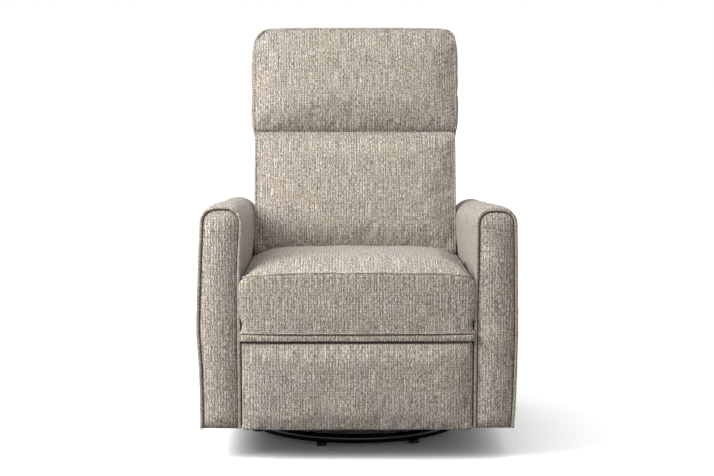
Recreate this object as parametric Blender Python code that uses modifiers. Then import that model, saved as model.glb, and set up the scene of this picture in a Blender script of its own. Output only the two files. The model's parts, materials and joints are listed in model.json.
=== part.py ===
"""Upholstered swivel glider recliner on a round tube base.

Metres, +Z up, the sitter faces -Y.  The origin is on the floor, on the swivel axis.
"left" and "right" are as seen from the front, so left is at -X.
"""
import math

import bmesh
import bpy
from mathutils import Matrix, Vector

# ---------------------------------------------------------------- fits
GAP = 0.0003            # between faces that touch
PIN_FIT = 0.0005        # around a pin in its hole
GLIDE_GAP = 0.002       # between links that pass each other
STUD_PROUD = 0.001      # studs end past the piece they carry
CUT_PAST = 0.010        # cutters run past the piece they cut

# ---------------------------------------------------------------- round base
RING_RADIUS = 0.2725    # to the middle of the tube
RING_TUBE = 0.0125      # radius of the tube
PAD_COUNT = 7
PAD_RADIUS = 0.013
PAD_HEIGHT = 0.008
PAD_TURN = math.radians(-19.0)      # first pad, from the front
BAR_OFFSET = 0.060      # cross bars, from the middle
BAR_WIDTH = 0.040
BAR_THICK = 0.008
RING_Z = PAD_HEIGHT + RING_TUBE
BASE_TOP = RING_Z + RING_TUBE

# ---------------------------------------------------------------- swivel bearing
BOLT_RADIUS = 0.008
BOLT_HEAD = 0.013
BOLT_HEAD_HEIGHT = 0.006
LOWER_PLATE_RADIUS = 0.075
PLATE_THICK = 0.005
RACE_INNER = 0.044
RACE_OUTER = 0.058
RACE_HEIGHT = 0.008
UPPER_PLATE_RADIUS = 0.085
SKIRT_DEPTH = 0.004     # lip of the upper plate round the race
LOWER_PLATE_Z = BASE_TOP + GAP
RACE_TOP = LOWER_PLATE_Z + PLATE_THICK + RACE_HEIGHT
UPPER_PLATE_Z = RACE_TOP + GAP
UPPER_PLATE_TOP = UPPER_PLATE_Z + PLATE_THICK

# ---------------------------------------------------------------- glide unit
GLIDE_PIVOT_Y = 0.110   # front and rear link pivots
LINK_LENGTH = 0.095
LINK_HALF_WIDTH = 0.011
LINK_THICK = 0.003
STUD_RADIUS = 0.005
RAIL_X = 0.150          # inner face of the turntable's side rails
RAIL_THICK = 0.005
RAIL_HEIGHT = 0.025
RAIL_HALF_LENGTH = 0.135
POST_HALF_WIDTH = 0.015
TUBE = 0.025            # square tube of the cross members
TUBE_EDGE = 0.003
CROSS_OFFSET = 0.070    # turntable cross members, from the middle
RAIL_Z = UPPER_PLATE_TOP + GAP
CARRIAGE_Z = 0.080      # underside of the moving frame
LOWER_PIVOT_Z = CARRIAGE_Z + TUBE / 2
UPPER_PIVOT_Z = LOWER_PIVOT_Z + LINK_LENGTH
LINK_X = RAIL_X + RAIL_THICK + GLIDE_GAP
GLIDE_RAIL_X = LINK_X + LINK_THICK + GLIDE_GAP
CARRIAGE_CROSS_Y = 0.190

# ---------------------------------------------------------------- body of the chair
SEAT_HALF_WIDTH = 0.280             # every width above the turntable is measured from it
ARM_CLEARANCE = 0.002
ARM_WIDTH = 0.100
ARM_INNER_X = SEAT_HALF_WIDTH + ARM_CLEARANCE
ARM_OUTER_X = ARM_INNER_X + ARM_WIDTH
ARM_BOTTOM = 0.080
ARM_TOP = 0.620
ARM_HEIGHT = ARM_TOP - ARM_BOTTOM
ARM_SHOULDER = 0.042    # depth of the arched top
ARM_SWELL = 0.011       # inner side swells over the seat
ARM_SWELL_RISE = ((0.694, 0.0), (0.793, 0.6), (0.882, 1.0))     # shares of height and swell
ARM_BOW = 0.006         # how far the outer side swells
ARM_BOW_RISE = ((0.852, -0.33), (0.667, 0.0), (0.444, 1.0), (0.259, 0.17))
ARM_SHOULDER_RISE = 0.667
ARM_EDGE = 0.008
ARM_REAR_DROP = 0.028
ARM_FRONT_Y = -0.435
ARM_REAR_Y = 0.308
ARM_FACING = 0.025      # padded front facing
FACING_SWELL = 0.005
FACING_EDGE = 0.006
WALL = 0.015            # plywood of the arm frame
ARM_FRAME_INSET = 0.014
ARM_FRAME_OUTER_INSET = 0.016
ARM_FRAME_LIFT = 0.004
ARM_FRAME_TOP = ARM_TOP - 0.086

PLATE_X = SEAT_HALF_WIDTH - 0.028   # inner face of the mechanism side plates
PLATE_GAUGE = 0.004
PLATE_REAR_RISE = 0.045
PLATE_RISE = 0.112
PLATE_SHOULDER = 0.010
PLATE_NECK = 0.032
PLATE_NOSE = 0.014
PLATE_EYE = 0.008
PLATE_TOP_DROP = 0.016
BAR_GAUGE = 0.004
RAIL_WOOD = 0.0137      # seat side rails
SEAT_RAIL_Z = 0.254
SEAT_RAIL_TOP = 0.3137
FRONT_RAIL_Y = -0.445
FRONT_RAIL_DEPTH = 0.060
FRONT_RAIL_LIP = 0.0137
FRONT_WEB = 0.015
FRONT_WEB_Z = 0.284
REAR_RAIL_Y = 0.025
REAR_RAIL_THICK = 0.015
SPRING_COUNT = 4
SPRING_PITCH = SEAT_HALF_WIDTH * 0.4464
SPRING_WIRE = 0.002
SPRING_SWING = 0.020
SPRING_BENDS = 11
SPRING_LEAD = 0.012

CUSHION_FRONT_Y = -0.450
CUSHION_REAR_Y = 0.066
CUSHION_BOTTOM = SEAT_RAIL_TOP + 2 * GAP
CUSHION_SEAM_Z = 0.463
CUSHION_CROWN = 0.033
CUSHION_FRONT_CROWN = 0.004
CUSHION_DRAW_IN = 0.008
CUSHION_EDGE = 0.020

REAR_PANEL_Y = 0.284
REAR_PANEL_THICK = 0.020
REAR_PANEL_Z = 0.084
REAR_PANEL_TOP = 0.312
REAR_PANEL_EDGE = 0.006

# ---------------------------------------------------------------- back
BACK_PIVOT = (0.150, 0.330)         # y, z
BACK_LEAN = math.radians(17.0)
BACK_BOARD_HALF_WIDTH = PLATE_X - 0.0043
BACK_BOARD_HALF_THICK = 0.011
BACK_BOARD_LOW = -0.050
BACK_BOARD_HIGH = 0.700
BACK_PIN_RADIUS = 0.006
BACK_PIN_DEPTH = 0.026
LUMBAR_HALF_WIDTH = SEAT_HALF_WIDTH - 0.014
HEAD_HALF_WIDTH = SEAT_HALF_WIDTH
BACK_WIDENS = 0.300     # the outside back widens from here to the crease
LUMBAR_LOW = 0.090
CREASE = 0.430
PAD_PARTING = 0.004
HEAD_HIGH = 0.724
LUMBAR_DEPTH = 0.097
HEAD_DEPTH = 0.084
PAD_CROWN = 0.018
PAD_EDGE = 0.022
LUMBAR_DRAW_IN = 0.004
HEAD_DRAW_IN = 0.005
HEAD_CORNER = 0.045
COVER_DEPTH = 0.0955
COVER_WALL = 0.006
COVER_TRIM = 0.003      # outside back inside the pads' outline
COVER_EDGE = 0.010
COVER_LOW = -0.060
COVER_HIGH = 0.719

# ---------------------------------------------------------------- footrest
FOOT_PIVOT = (-0.330, 0.235)        # torque tube
FOOT_BAR = 0.140
FOOT_BAR_CLOSED = math.radians(270.0)
FOOT_BAR_SWING = math.radians(92.58)
OTTOMAN_PIVOT = (-0.388, 0.225)
MID_BAR_SWING = math.radians(29.94)
STAY_REACH = 0.035      # stay pin, along the middle bar
STAY_OFFSET = 0.098     # stay pivot, off the chord of its pin's travel
STAY_SLOT = 0.005       # play of the pin across the stay between the footrest's two limits
STAY_SLOT_RADIUS = 0.0067
STAY_SLOT_SHIFT = 0.0005
BAR_HALF_WIDTH = 0.012
BAR_EYE = 0.006         # metal of a bar round the torque tube
TORQUE_TUBE = 0.010
FOOT_HALF_WIDTH = SEAT_HALF_WIDTH - 0.004
FOOT_BOTTOM = 0.080
FOOT_TOP = 0.2945
FOOT_BOARD_Y = -0.405
FOOT_BOARD_THICK = 0.012
FOOT_BOARD_INSET = 0.012
FOOT_FRONT_Y = -0.4455
FOOT_CROWN = 0.005
FOOT_EDGE = 0.010
BRACKET_FLANGE = 0.022
BRACKET_FLANGE_LIFT = 0.004
BRACKET_GAUGE = 0.003
BRACKET_LOW = 0.112
BRACKET_FOOT = 0.010

# ---------------------------------------------------------------- release lever
LEVER_PIVOT = (-0.190, 0.284)
LEVER_TOP = (-0.200, 0.444)
LEVER_HALF_WIDTH = 0.008
LEVER_GAUGE = 0.003
LEVER_GRIP = 0.013
LEVER_X = SEAT_HALF_WIDTH - 0.0065

COLLECTION = bpy.data.collections.new("swivel_glider_recliner")
CUTTERS = bpy.data.collections.new("cutters")
SIDES = (("left", -1.0), ("right", 1.0))


def clear_scene():
    for item in list(bpy.data.objects):
        bpy.data.objects.remove(item, do_unlink=True)
    bpy.context.scene.collection.children.link(COLLECTION)
    bpy.context.scene.collection.children.link(CUTTERS)


# ---------------------------------------------------------------- materials
def finish(name, colour, roughness, metallic=0.0):
    mat = bpy.data.materials.new(name)
    mat.use_nodes = True
    shader = mat.node_tree.nodes["Principled BSDF"]
    shader.inputs["Base Color"].default_value = (*colour, 1.0)
    shader.inputs["Roughness"].default_value = roughness
    shader.inputs["Metallic"].default_value = metallic
    return mat


FINISHES = {
    "upholstery": ((0.38, 0.34, 0.295), 0.95, 0.0),
    "plywood": ((0.50, 0.36, 0.20), 0.7, 0.0),
    "black_steel": ((0.012, 0.012, 0.013), 0.35, 0.0),
    "zinc_steel": ((0.45, 0.45, 0.46), 0.4, 1.0),
    "spring_steel": ((0.10, 0.10, 0.11), 0.4, 1.0),
    "black_plastic": ((0.015, 0.015, 0.015), 0.5, 0.0),
}


# ---------------------------------------------------------------- object helpers
def add_node(name, mesh, slot, parent=None, placed=True):
    """Link a mesh as one named piece; placed pieces keep their world place under the parent."""
    item = bpy.data.objects.new(name, mesh)
    COLLECTION.objects.link(item)
    colour, roughness, metallic = FINISHES[slot]
    mesh.materials.clear()
    mesh.materials.append(finish(name + "_" + slot, colour, roughness, metallic))
    if parent is not None:
        item.parent = parent
        if placed:
            item.matrix_parent_inverse = parent.matrix_world.inverted()
    return item


def add_axis(name, place, lean=0.0):
    """An empty on a joint's axis, which its pieces are parented to."""
    axis = bpy.data.objects.new(name, None)
    COLLECTION.objects.link(axis)
    axis.empty_display_size = 0.05
    axis.location = place
    axis.rotation_euler = (lean, 0.0, 0.0)
    axis.matrix_world = Matrix.Translation(place) @ Matrix.Rotation(lean, 4, "X")
    return axis


def smooth(mesh, angle=40.0):
    mesh.shade_smooth()
    mesh.set_sharp_from_angle(angle=math.radians(angle))


def box_mesh(low, high):
    work = bmesh.new()
    bmesh.ops.create_cube(work, size=1.0)
    middle = (Vector(low) + Vector(high)) / 2
    size = Vector(high) - Vector(low)
    bmesh.ops.scale(work, vec=size, verts=work.verts)
    bmesh.ops.translate(work, vec=middle, verts=work.verts)
    mesh = bpy.data.meshes.new("box")
    work.to_mesh(mesh)
    work.free()
    return mesh


def side_box(sign, low, high):
    """A box given by its inner and outer X on the right, mirrored to the left by sign."""
    x_low, x_high = sorted((sign * low[0], sign * high[0]))
    return box_mesh((x_low, low[1], low[2]), (x_high, high[1], high[2]))


def bevel(item, width, segments=2, angle=30.0):
    edge = item.modifiers.new("edges", "BEVEL")
    edge.width = width
    edge.segments = segments
    edge.limit_method = "ANGLE"
    edge.angle_limit = math.radians(angle)
    return edge


def curve_mesh(curve, matrix=None):
    """The evaluated curve as a closed mesh, with its caps welded on."""
    holder = bpy.data.objects.new("curve", curve)
    COLLECTION.objects.link(holder)
    if matrix is not None:
        holder.matrix_world = matrix
    bpy.context.view_layer.update()
    graph = bpy.context.evaluated_depsgraph_get()
    mesh = bpy.data.meshes.new_from_object(holder.evaluated_get(graph))
    mesh.transform(holder.matrix_world)
    work = bmesh.new()
    work.from_mesh(mesh)
    bmesh.ops.remove_doubles(work, verts=work.verts, dist=0.00001)
    bmesh.ops.recalc_face_normals(work, faces=work.faces)
    work.to_mesh(mesh)
    work.free()
    bpy.data.objects.remove(holder, do_unlink=True)
    return mesh


def add_spline(curve, points, closed=True):
    spline = curve.splines.new("POLY")
    spline.points.add(len(points) - 1)
    for target, point in zip(spline.points, points):
        place = tuple(point) if len(point) == 3 else (point[0], point[1], 0.0)
        target.co = (*place, 1.0)
    spline.use_cyclic_u = closed


def arc(centre, radius, start, end, steps):
    """Points from start to end, in degrees, about a centre in the plane."""
    points = []
    for step in range(steps + 1):
        angle = math.radians(start + (end - start) * step / steps)
        points.append((centre[0] + radius * math.cos(angle), centre[1] + radius * math.sin(angle)))
    return points


def circle(centre, radius, steps=12):
    return arc(centre, radius, 0.0, 360.0 * (steps - 1) / steps, steps - 1)


def plate_mesh(outline, holes, x_low, thick, slots=()):
    """A flat plate in the YZ plane, from x_low to x_low + thick, with round holes and slots."""
    curve = bpy.data.curves.new("plate", "CURVE")
    curve.dimensions = "2D"
    curve.fill_mode = "BOTH"
    curve.extrude = thick / 2
    add_spline(curve, outline)
    for hole in [circle(centre, radius) for centre, radius in holes] + list(slots):
        add_spline(curve, hole)
    stand = Matrix(((0, 0, 1, x_low + thick / 2), (1, 0, 0, 0), (0, 1, 0, 0), (0, 0, 0, 1)))
    return curve_mesh(curve, stand)


def side_plate_mesh(sign, outline, holes, x_inner, thick, slots=()):
    x_low = x_inner if sign > 0 else -x_inner - thick
    return plate_mesh(outline, holes, x_low, thick, slots)


def profile_mesh(outline, y_low, y_high):
    """An outline in the XZ plane, extruded along Y."""
    curve = bpy.data.curves.new("profile", "CURVE")
    curve.dimensions = "2D"
    curve.fill_mode = "BOTH"
    curve.extrude = (y_high - y_low) / 2
    add_spline(curve, outline)
    middle = (y_low + y_high) / 2
    stand = Matrix(((1, 0, 0, 0), (0, 0, -1, middle), (0, 1, 0, 0), (0, 0, 0, 1)))
    return curve_mesh(curve, stand)


def link_outline(start, end, half_width, steps=6):
    """A flat bar with round ends between two pins."""
    along = math.degrees(math.atan2(end[1] - start[1], end[0] - start[0]))
    return arc(end, half_width, along - 90, along + 90, steps) + arc(
        start, half_width, along + 90, along + 270, steps
    )


def rod_mesh(start, end, radius, sides=16):
    work = bmesh.new()
    run = Vector(end) - Vector(start)
    turn = run.to_track_quat("Z", "Y").to_matrix().to_4x4()
    place = Matrix.Translation((Vector(start) + Vector(end)) / 2) @ turn
    bmesh.ops.create_cone(
        work, cap_ends=True, segments=sides, radius1=radius, radius2=radius, depth=run.length, matrix=place
    )
    mesh = bpy.data.meshes.new("rod")
    work.to_mesh(mesh)
    work.free()
    return mesh


def add_cutter(name, mesh):
    cutter = bpy.data.objects.new(name, mesh)
    CUTTERS.objects.link(cutter)
    cutter.hide_render = True
    cutter.display_type = "WIRE"
    return cutter


def cut(item, cutter, operation="DIFFERENCE"):
    step = item.modifiers.new(operation.lower(), "BOOLEAN")
    step.operation = operation
    step.solver = "EXACT"
    step.object = cutter
    return step


def add_stud(item, sign, place, x_from, x_to, radius, sides=12):
    """A round stud along X, joined to a plate that it starts inside."""
    start = (sign * x_from, place[0], place[1])
    end = (sign * x_to, place[0], place[1])
    cut(item, add_cutter(item.name + "_stud", rod_mesh(start, end, radius, sides)), "UNION")


def turned(name, profile, slot, steps, parent=None):
    """A profile in X and Z, down its outer side, turned about Z by a Screw modifier."""
    work = bmesh.new()
    points = [work.verts.new((radius, 0.0, height)) for radius, height in profile]
    for first, second in zip(points, points[1:] + points[:1]):
        work.edges.new((first, second))
    mesh = bpy.data.meshes.new(name)
    work.to_mesh(mesh)
    work.free()
    item = add_node(name, mesh, slot, parent)
    screw = item.modifiers.new("turn", "SCREW")
    screw.steps = steps
    screw.render_steps = steps
    screw.use_merge_vertices = True
    screw.merge_threshold = 0.00001
    screw.use_smooth_shade = False
    return item


def swept(centre, angle, reach):
    """The point at a distance and an angle from a centre, in the YZ plane."""
    return (centre[0] + reach * math.cos(angle), centre[1] + reach * math.sin(angle))


def direction(first, second):
    return math.atan2(second[1] - first[1], second[0] - first[0])


def shares_of(low, high, shares):
    return [low + (high - low) * share for share in shares]


# ---------------------------------------------------------------- soft forms
def bell(value, sharp=2.0):
    """1 in the middle of -1 to 1 and 0 at its ends."""
    return max(0.0, 1.0 - abs(value) ** sharp)


def round_corners(vert, half, top, radius):
    """Draw the two upper corners of a pad in to a radius, seen from the front."""
    across = abs(vert.co.x) - (half - radius)
    up = vert.co.z - (top - radius)
    if across <= 0.0 or up <= 0.0:
        return
    keep = max(across, up) / math.hypot(across, up)
    vert.co.x = math.copysign(half - radius + across * keep, vert.co.x)
    vert.co.z = top - radius + up * keep


def cushion_mesh(low, high, cuts, shape, corner=0.0):
    """A box cage, cut across at the given places, whose points are moved by shape(a, b, c)."""
    work = bmesh.new()
    bmesh.ops.create_cube(work, size=1.0)
    middle = (Vector(low) + Vector(high)) / 2
    size = Vector(high) - Vector(low)
    bmesh.ops.scale(work, vec=size, verts=work.verts)
    bmesh.ops.translate(work, vec=middle, verts=work.verts)
    for axis in range(3):
        normal = Vector((0.0, 0.0, 0.0))
        normal[axis] = 1.0
        for place in cuts[axis]:
            point = Vector((0.0, 0.0, 0.0))
            point[axis] = place
            geometry = work.verts[:] + work.edges[:] + work.faces[:]
            bmesh.ops.bisect_plane(work, geom=geometry, dist=0.00001, plane_co=point, plane_no=normal)
    for vert in work.verts:
        share = [2 * (vert.co[axis] - middle[axis]) / size[axis] for axis in range(3)]
        if corner > 0.0:
            round_corners(vert, high[0], high[2], corner)
        vert.co += Vector(shape(*share))
    mesh = bpy.data.meshes.new("cushion")
    work.to_mesh(mesh)
    work.free()
    return mesh


def soften(item, levels=1):
    step = item.modifiers.new("soft", "SUBSURF")
    step.levels = levels
    step.render_levels = levels


# ---------------------------------------------------------------- base on the floor
def build_base():
    bpy.ops.mesh.primitive_torus_add(
        major_segments=42, minor_segments=10, major_radius=RING_RADIUS, minor_radius=RING_TUBE,
        location=(0.0, 0.0, RING_Z),
    )
    torus = bpy.context.active_object
    ring_mesh = torus.data.copy()
    ring_mesh.transform(torus.matrix_world)
    bpy.data.objects.remove(torus, do_unlink=True)
    smooth(ring_mesh)
    add_node("base_ring", ring_mesh, "black_steel")

    bpy.ops.mesh.primitive_torus_add(
        major_segments=42, minor_segments=10, major_radius=RING_RADIUS, minor_radius=RING_TUBE + GAP,
        location=(0.0, 0.0, RING_Z),
    )
    groove = bpy.context.active_object
    groove_mesh = groove.data.copy()
    groove_mesh.transform(groove.matrix_world)
    bpy.data.objects.remove(groove, do_unlink=True)
    groove = add_cutter("ring_groove", groove_mesh)
    for name, side in (("front", -1.0), ("rear", 1.0)):
        near, far = sorted((side * (BAR_OFFSET - BAR_WIDTH / 2), side * (BAR_OFFSET + BAR_WIDTH / 2)))
        half = math.sqrt(RING_RADIUS ** 2 - (BAR_OFFSET + BAR_WIDTH / 2) ** 2)
        bar = box_mesh((-half, near, BASE_TOP - BAR_THICK), (half, far, BASE_TOP))
        cut(add_node("base_cross_bar_" + name, bar, "black_steel"), groove)

    for index in range(PAD_COUNT):
        angle = PAD_TURN + index * 2 * math.pi / PAD_COUNT
        x, y = RING_RADIUS * math.sin(angle), -RING_RADIUS * math.cos(angle)
        pad = rod_mesh((x, y, 0.0), (x, y, PAD_HEIGHT - GAP), PAD_RADIUS, 14)
        smooth(pad)
        add_node("base_pad_%d" % (index + 1), pad, "black_plastic")

    hole = BOLT_RADIUS + PIN_FIT
    under = LOWER_PLATE_Z
    top = under + PLATE_THICK
    lower = [
        (hole, top), (RACE_INNER, top), (RACE_INNER, RACE_TOP), (RACE_OUTER, RACE_TOP),
        (RACE_OUTER, top), (LOWER_PLATE_RADIUS, top), (LOWER_PLATE_RADIUS, under), (hole, under),
    ]
    turned("swivel_lower_plate", lower, "zinc_steel", 28)
    nut_z = under - GAP
    head_z = UPPER_PLATE_TOP + GAP
    bolt = [
        (0.0, head_z + BOLT_HEAD_HEIGHT), (BOLT_HEAD, head_z + BOLT_HEAD_HEIGHT), (BOLT_HEAD, head_z),
        (BOLT_RADIUS, head_z), (BOLT_RADIUS, nut_z), (BOLT_HEAD, nut_z),
        (BOLT_HEAD, nut_z - BOLT_HEAD_HEIGHT), (0.0, nut_z - BOLT_HEAD_HEIGHT),
    ]
    turned("swivel_bolt", bolt, "zinc_steel", 12)


# ---------------------------------------------------------------- turntable and glide links
def build_turntable(swivel):
    hole = BOLT_RADIUS + PIN_FIT
    lip = RACE_OUTER + PLATE_THICK
    upper = [
        (hole, UPPER_PLATE_TOP), (UPPER_PLATE_RADIUS, UPPER_PLATE_TOP),
        (UPPER_PLATE_RADIUS, UPPER_PLATE_Z), (lip + PLATE_THICK, UPPER_PLATE_Z),
        (lip + PLATE_THICK, UPPER_PLATE_Z - SKIRT_DEPTH), (lip, UPPER_PLATE_Z - SKIRT_DEPTH),
        (lip, UPPER_PLATE_Z), (hole, UPPER_PLATE_Z),
    ]
    turned("swivel_upper_plate", upper, "zinc_steel", 28, swivel)

    for name, side in (("front", -1.0), ("rear", 1.0)):
        near, far = sorted((side * (CROSS_OFFSET - TUBE / 2), side * (CROSS_OFFSET + TUBE / 2)))
        tube = box_mesh((-RAIL_X + GAP, near, RAIL_Z), (RAIL_X - GAP, far, RAIL_Z + TUBE))
        bevel(add_node("turntable_cross_" + name, tube, "black_steel", swivel), TUBE_EDGE)

    low, high = RAIL_Z, RAIL_Z + RAIL_HEIGHT
    out = GLIDE_PIVOT_Y + POST_HALF_WIDTH
    inn = GLIDE_PIVOT_Y - POST_HALF_WIDTH
    chamfer = RAIL_HALF_LENGTH - out
    outline = [
        (-RAIL_HALF_LENGTH, low), (RAIL_HALF_LENGTH, low), (RAIL_HALF_LENGTH, high - chamfer), (out, high),
    ]
    outline += arc((GLIDE_PIVOT_Y, UPPER_PIVOT_Z), POST_HALF_WIDTH, 0, 180, 8)
    outline += [(inn, high), (-inn, high)]
    outline += arc((-GLIDE_PIVOT_Y, UPPER_PIVOT_Z), POST_HALF_WIDTH, 0, 180, 8)
    outline += [(-out, high), (-RAIL_HALF_LENGTH, high - chamfer)]
    for side, sign in SIDES:
        mesh = side_plate_mesh(sign, outline, [], RAIL_X, RAIL_THICK)
        rail = add_node("turntable_rail_" + side, mesh, "black_steel", swivel)
        stud_end = LINK_X + LINK_THICK + STUD_PROUD
        for y in (-GLIDE_PIVOT_Y, GLIDE_PIVOT_Y):
            add_stud(rail, sign, (y, UPPER_PIVOT_Z), RAIL_X + RAIL_THICK / 2, stud_end, STUD_RADIUS)


def build_links(axis, name, y):
    top, bottom = (y, UPPER_PIVOT_Z), (y, LOWER_PIVOT_Z)
    holes = [(top, STUD_RADIUS + PIN_FIT), (bottom, STUD_RADIUS + PIN_FIT)]
    outline = link_outline(top, bottom, LINK_HALF_WIDTH)
    for side, sign in SIDES:
        mesh = side_plate_mesh(sign, outline, holes, LINK_X, LINK_THICK)
        add_node("glide_link_%s_%s" % (name, side), mesh, "zinc_steel", axis)


# ---------------------------------------------------------------- moving frame
def stay_pivots():
    """The stay's pivot on the side plate and its pin's place on the middle bar, both at rest."""
    elbow_rest = swept(FOOT_PIVOT, FOOT_BAR_CLOSED, FOOT_BAR)
    elbow_open = swept(FOOT_PIVOT, FOOT_BAR_CLOSED - FOOT_BAR_SWING, FOOT_BAR)
    mid_rest = direction(elbow_rest, OTTOMAN_PIVOT)
    pin_rest = swept(elbow_rest, mid_rest, STAY_REACH)
    pin_open = swept(elbow_open, mid_rest + MID_BAR_SWING, STAY_REACH)
    middle = ((pin_rest[0] + pin_open[0]) / 2, (pin_rest[1] + pin_open[1]) / 2)
    return swept(middle, direction(pin_rest, pin_open) - math.pi / 2, STAY_OFFSET), pin_rest, pin_open


def build_carriage(carriage):
    for name, y in (("front", -CARRIAGE_CROSS_Y), ("rear", CARRIAGE_CROSS_Y)):
        reach = ARM_INNER_X - GAP
        tube = box_mesh((-reach, y - TUBE / 2, CARRIAGE_Z), (reach, y + TUBE / 2, CARRIAGE_Z + TUBE))
        bevel(add_node("carriage_cross_" + name, tube, "black_steel", carriage), TUBE_EDGE)

    half = CARRIAGE_CROSS_Y - TUBE / 2 - GAP
    for side, sign in SIDES:
        outer = GLIDE_RAIL_X + RAIL_THICK
        mesh = side_box(sign, (GLIDE_RAIL_X, -half, CARRIAGE_Z), (outer, half, CARRIAGE_Z + TUBE))
        rail = add_node("glide_rail_" + side, mesh, "black_steel", carriage)
        for y in (-GLIDE_PIVOT_Y, GLIDE_PIVOT_Y):
            root = GLIDE_RAIL_X + RAIL_THICK / 2
            add_stud(rail, sign, (y, LOWER_PIVOT_Z), root, LINK_X - STUD_PROUD, STUD_RADIUS)

    stay_pivot = stay_pivots()[0]
    boss = BACK_PIN_RADIUS * 3
    foot = CARRIAGE_Z + TUBE + GAP
    rest_y = CARRIAGE_CROSS_Y + TUBE
    top = SEAT_RAIL_TOP - PLATE_TOP_DROP
    nose = stay_pivot[0] - PLATE_NOSE
    outline = [(-rest_y, foot), (rest_y, foot), (rest_y, foot + PLATE_REAR_RISE)]
    outline += [(BACK_PIVOT[0] - PLATE_SHOULDER, foot + PLATE_RISE)]
    outline += arc(BACK_PIVOT, boss, -25, 180, 10)
    outline += [(BACK_PIVOT[0] - PLATE_NECK, top), (nose, top), (nose, stay_pivot[1] - PLATE_NOSE)]
    outline += arc(FOOT_PIVOT, TORQUE_TUBE + PLATE_EYE, 190, 235, 3)
    holes = [(FOOT_PIVOT, TORQUE_TUBE + PIN_FIT * 2)]
    stay_x = PLATE_X - 3 * (GLIDE_GAP + BAR_GAUGE)
    for side, sign in SIDES:
        mesh = side_plate_mesh(sign, outline, holes, PLATE_X, PLATE_GAUGE)
        plate = add_node("mechanism_plate_" + side, mesh, "zinc_steel", carriage)
        root = PLATE_X + PLATE_GAUGE / 2
        add_stud(plate, sign, BACK_PIVOT, root, PLATE_X - BACK_PIN_DEPTH, BACK_PIN_RADIUS)
        add_stud(plate, sign, stay_pivot, root, stay_x - STUD_PROUD, STUD_RADIUS)


def build_seat_frame(carriage):
    outer = PLATE_X + PLATE_GAUGE + GAP
    web_y = FRONT_RAIL_Y + FRONT_RAIL_DEPTH
    reach = ARM_INNER_X - GAP
    lip_z = SEAT_RAIL_TOP - FRONT_RAIL_LIP
    rear_y = REAR_RAIL_Y + REAR_RAIL_THICK
    for side, sign in SIDES:
        low = (outer, web_y + GAP, SEAT_RAIL_Z)
        mesh = side_box(sign, low, (outer + RAIL_WOOD, rear_y, SEAT_RAIL_TOP))
        rail = add_node("seat_rail_" + side, mesh, "plywood", carriage)
        if side == "right":
            pin_end = LEVER_X + LEVER_GAUGE + STUD_PROUD
            add_stud(rail, sign, LEVER_PIVOT, outer + RAIL_WOOD / 2, pin_end, STUD_RADIUS)

    section = [
        (FRONT_RAIL_Y, lip_z), (web_y - FRONT_WEB, lip_z), (web_y - FRONT_WEB, FRONT_WEB_Z),
        (web_y, FRONT_WEB_Z), (web_y, SEAT_RAIL_TOP), (FRONT_RAIL_Y, SEAT_RAIL_TOP),
    ]
    add_node("seat_rail_front", plate_mesh(section, [], -reach, 2 * reach), "plywood", carriage)
    between = PLATE_X - GAP
    rear = box_mesh((-between, REAR_RAIL_Y, SEAT_RAIL_Z), (between, rear_y, SEAT_RAIL_TOP))
    add_node("seat_rail_rear", rear, "plywood", carriage)

    start, end = web_y + GAP, REAR_RAIL_Y - GAP
    level = SEAT_RAIL_TOP - 4 * SPRING_WIRE
    for index in range(SPRING_COUNT):
        centre = (index - (SPRING_COUNT - 1) / 2) * SPRING_PITCH
        points = [(centre, start, level), (centre, start + SPRING_LEAD, level)]
        step = (end - start - 2 * SPRING_LEAD) / (SPRING_BENDS + 1)
        for bend in range(SPRING_BENDS):
            x = centre + SPRING_SWING * (1 if bend % 2 else -1)
            y = start + SPRING_LEAD + step * (bend + 1)
            points += [(x, y - step / 4, level), (x, y + step / 4, level)]
        points += [(centre, end - SPRING_LEAD, level), (centre, end, level)]
        curve = bpy.data.curves.new("spring", "CURVE")
        curve.dimensions = "3D"
        curve.bevel_depth = SPRING_WIRE
        curve.bevel_resolution = 1
        curve.use_fill_caps = True
        add_spline(curve, points, closed=False)
        add_node("seat_spring_%d" % (index + 1), curve_mesh(curve), "spring_steel", carriage)


def build_seat_cushion(carriage):
    low = (-SEAT_HALF_WIDTH, CUSHION_FRONT_Y, CUSHION_BOTTOM)
    high = (SEAT_HALF_WIDTH, CUSHION_REAR_Y, CUSHION_SEAM_Z)

    def shape(a, b, c):
        crown = CUSHION_CROWN * bell(a, 2.6) * bell(b, 2.6) if c > 0.99 else 0.0
        sides = -CUSHION_DRAW_IN * bell(b, 6.0) * a if abs(a) > 0.99 else 0.0
        front = -CUSHION_FRONT_CROWN * bell(a, 4.0) * bell(c) if b < -0.99 else 0.0
        return (sides, front, crown)

    edge = CUSHION_EDGE
    cuts = (
        [low[0] + edge, *shares_of(low[0], high[0], (0.196, 0.393, 0.607, 0.804)), high[0] - edge],
        [low[1] + edge, *shares_of(low[1], high[1], (0.213, 0.485, 0.756)), high[1] - edge],
        [low[2] + edge / 2, high[2] - edge / 2],
    )
    item = add_node("seat_cushion", cushion_mesh(low, high, cuts, shape), "upholstery", carriage)
    soften(item)
    smooth(item.data)


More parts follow.
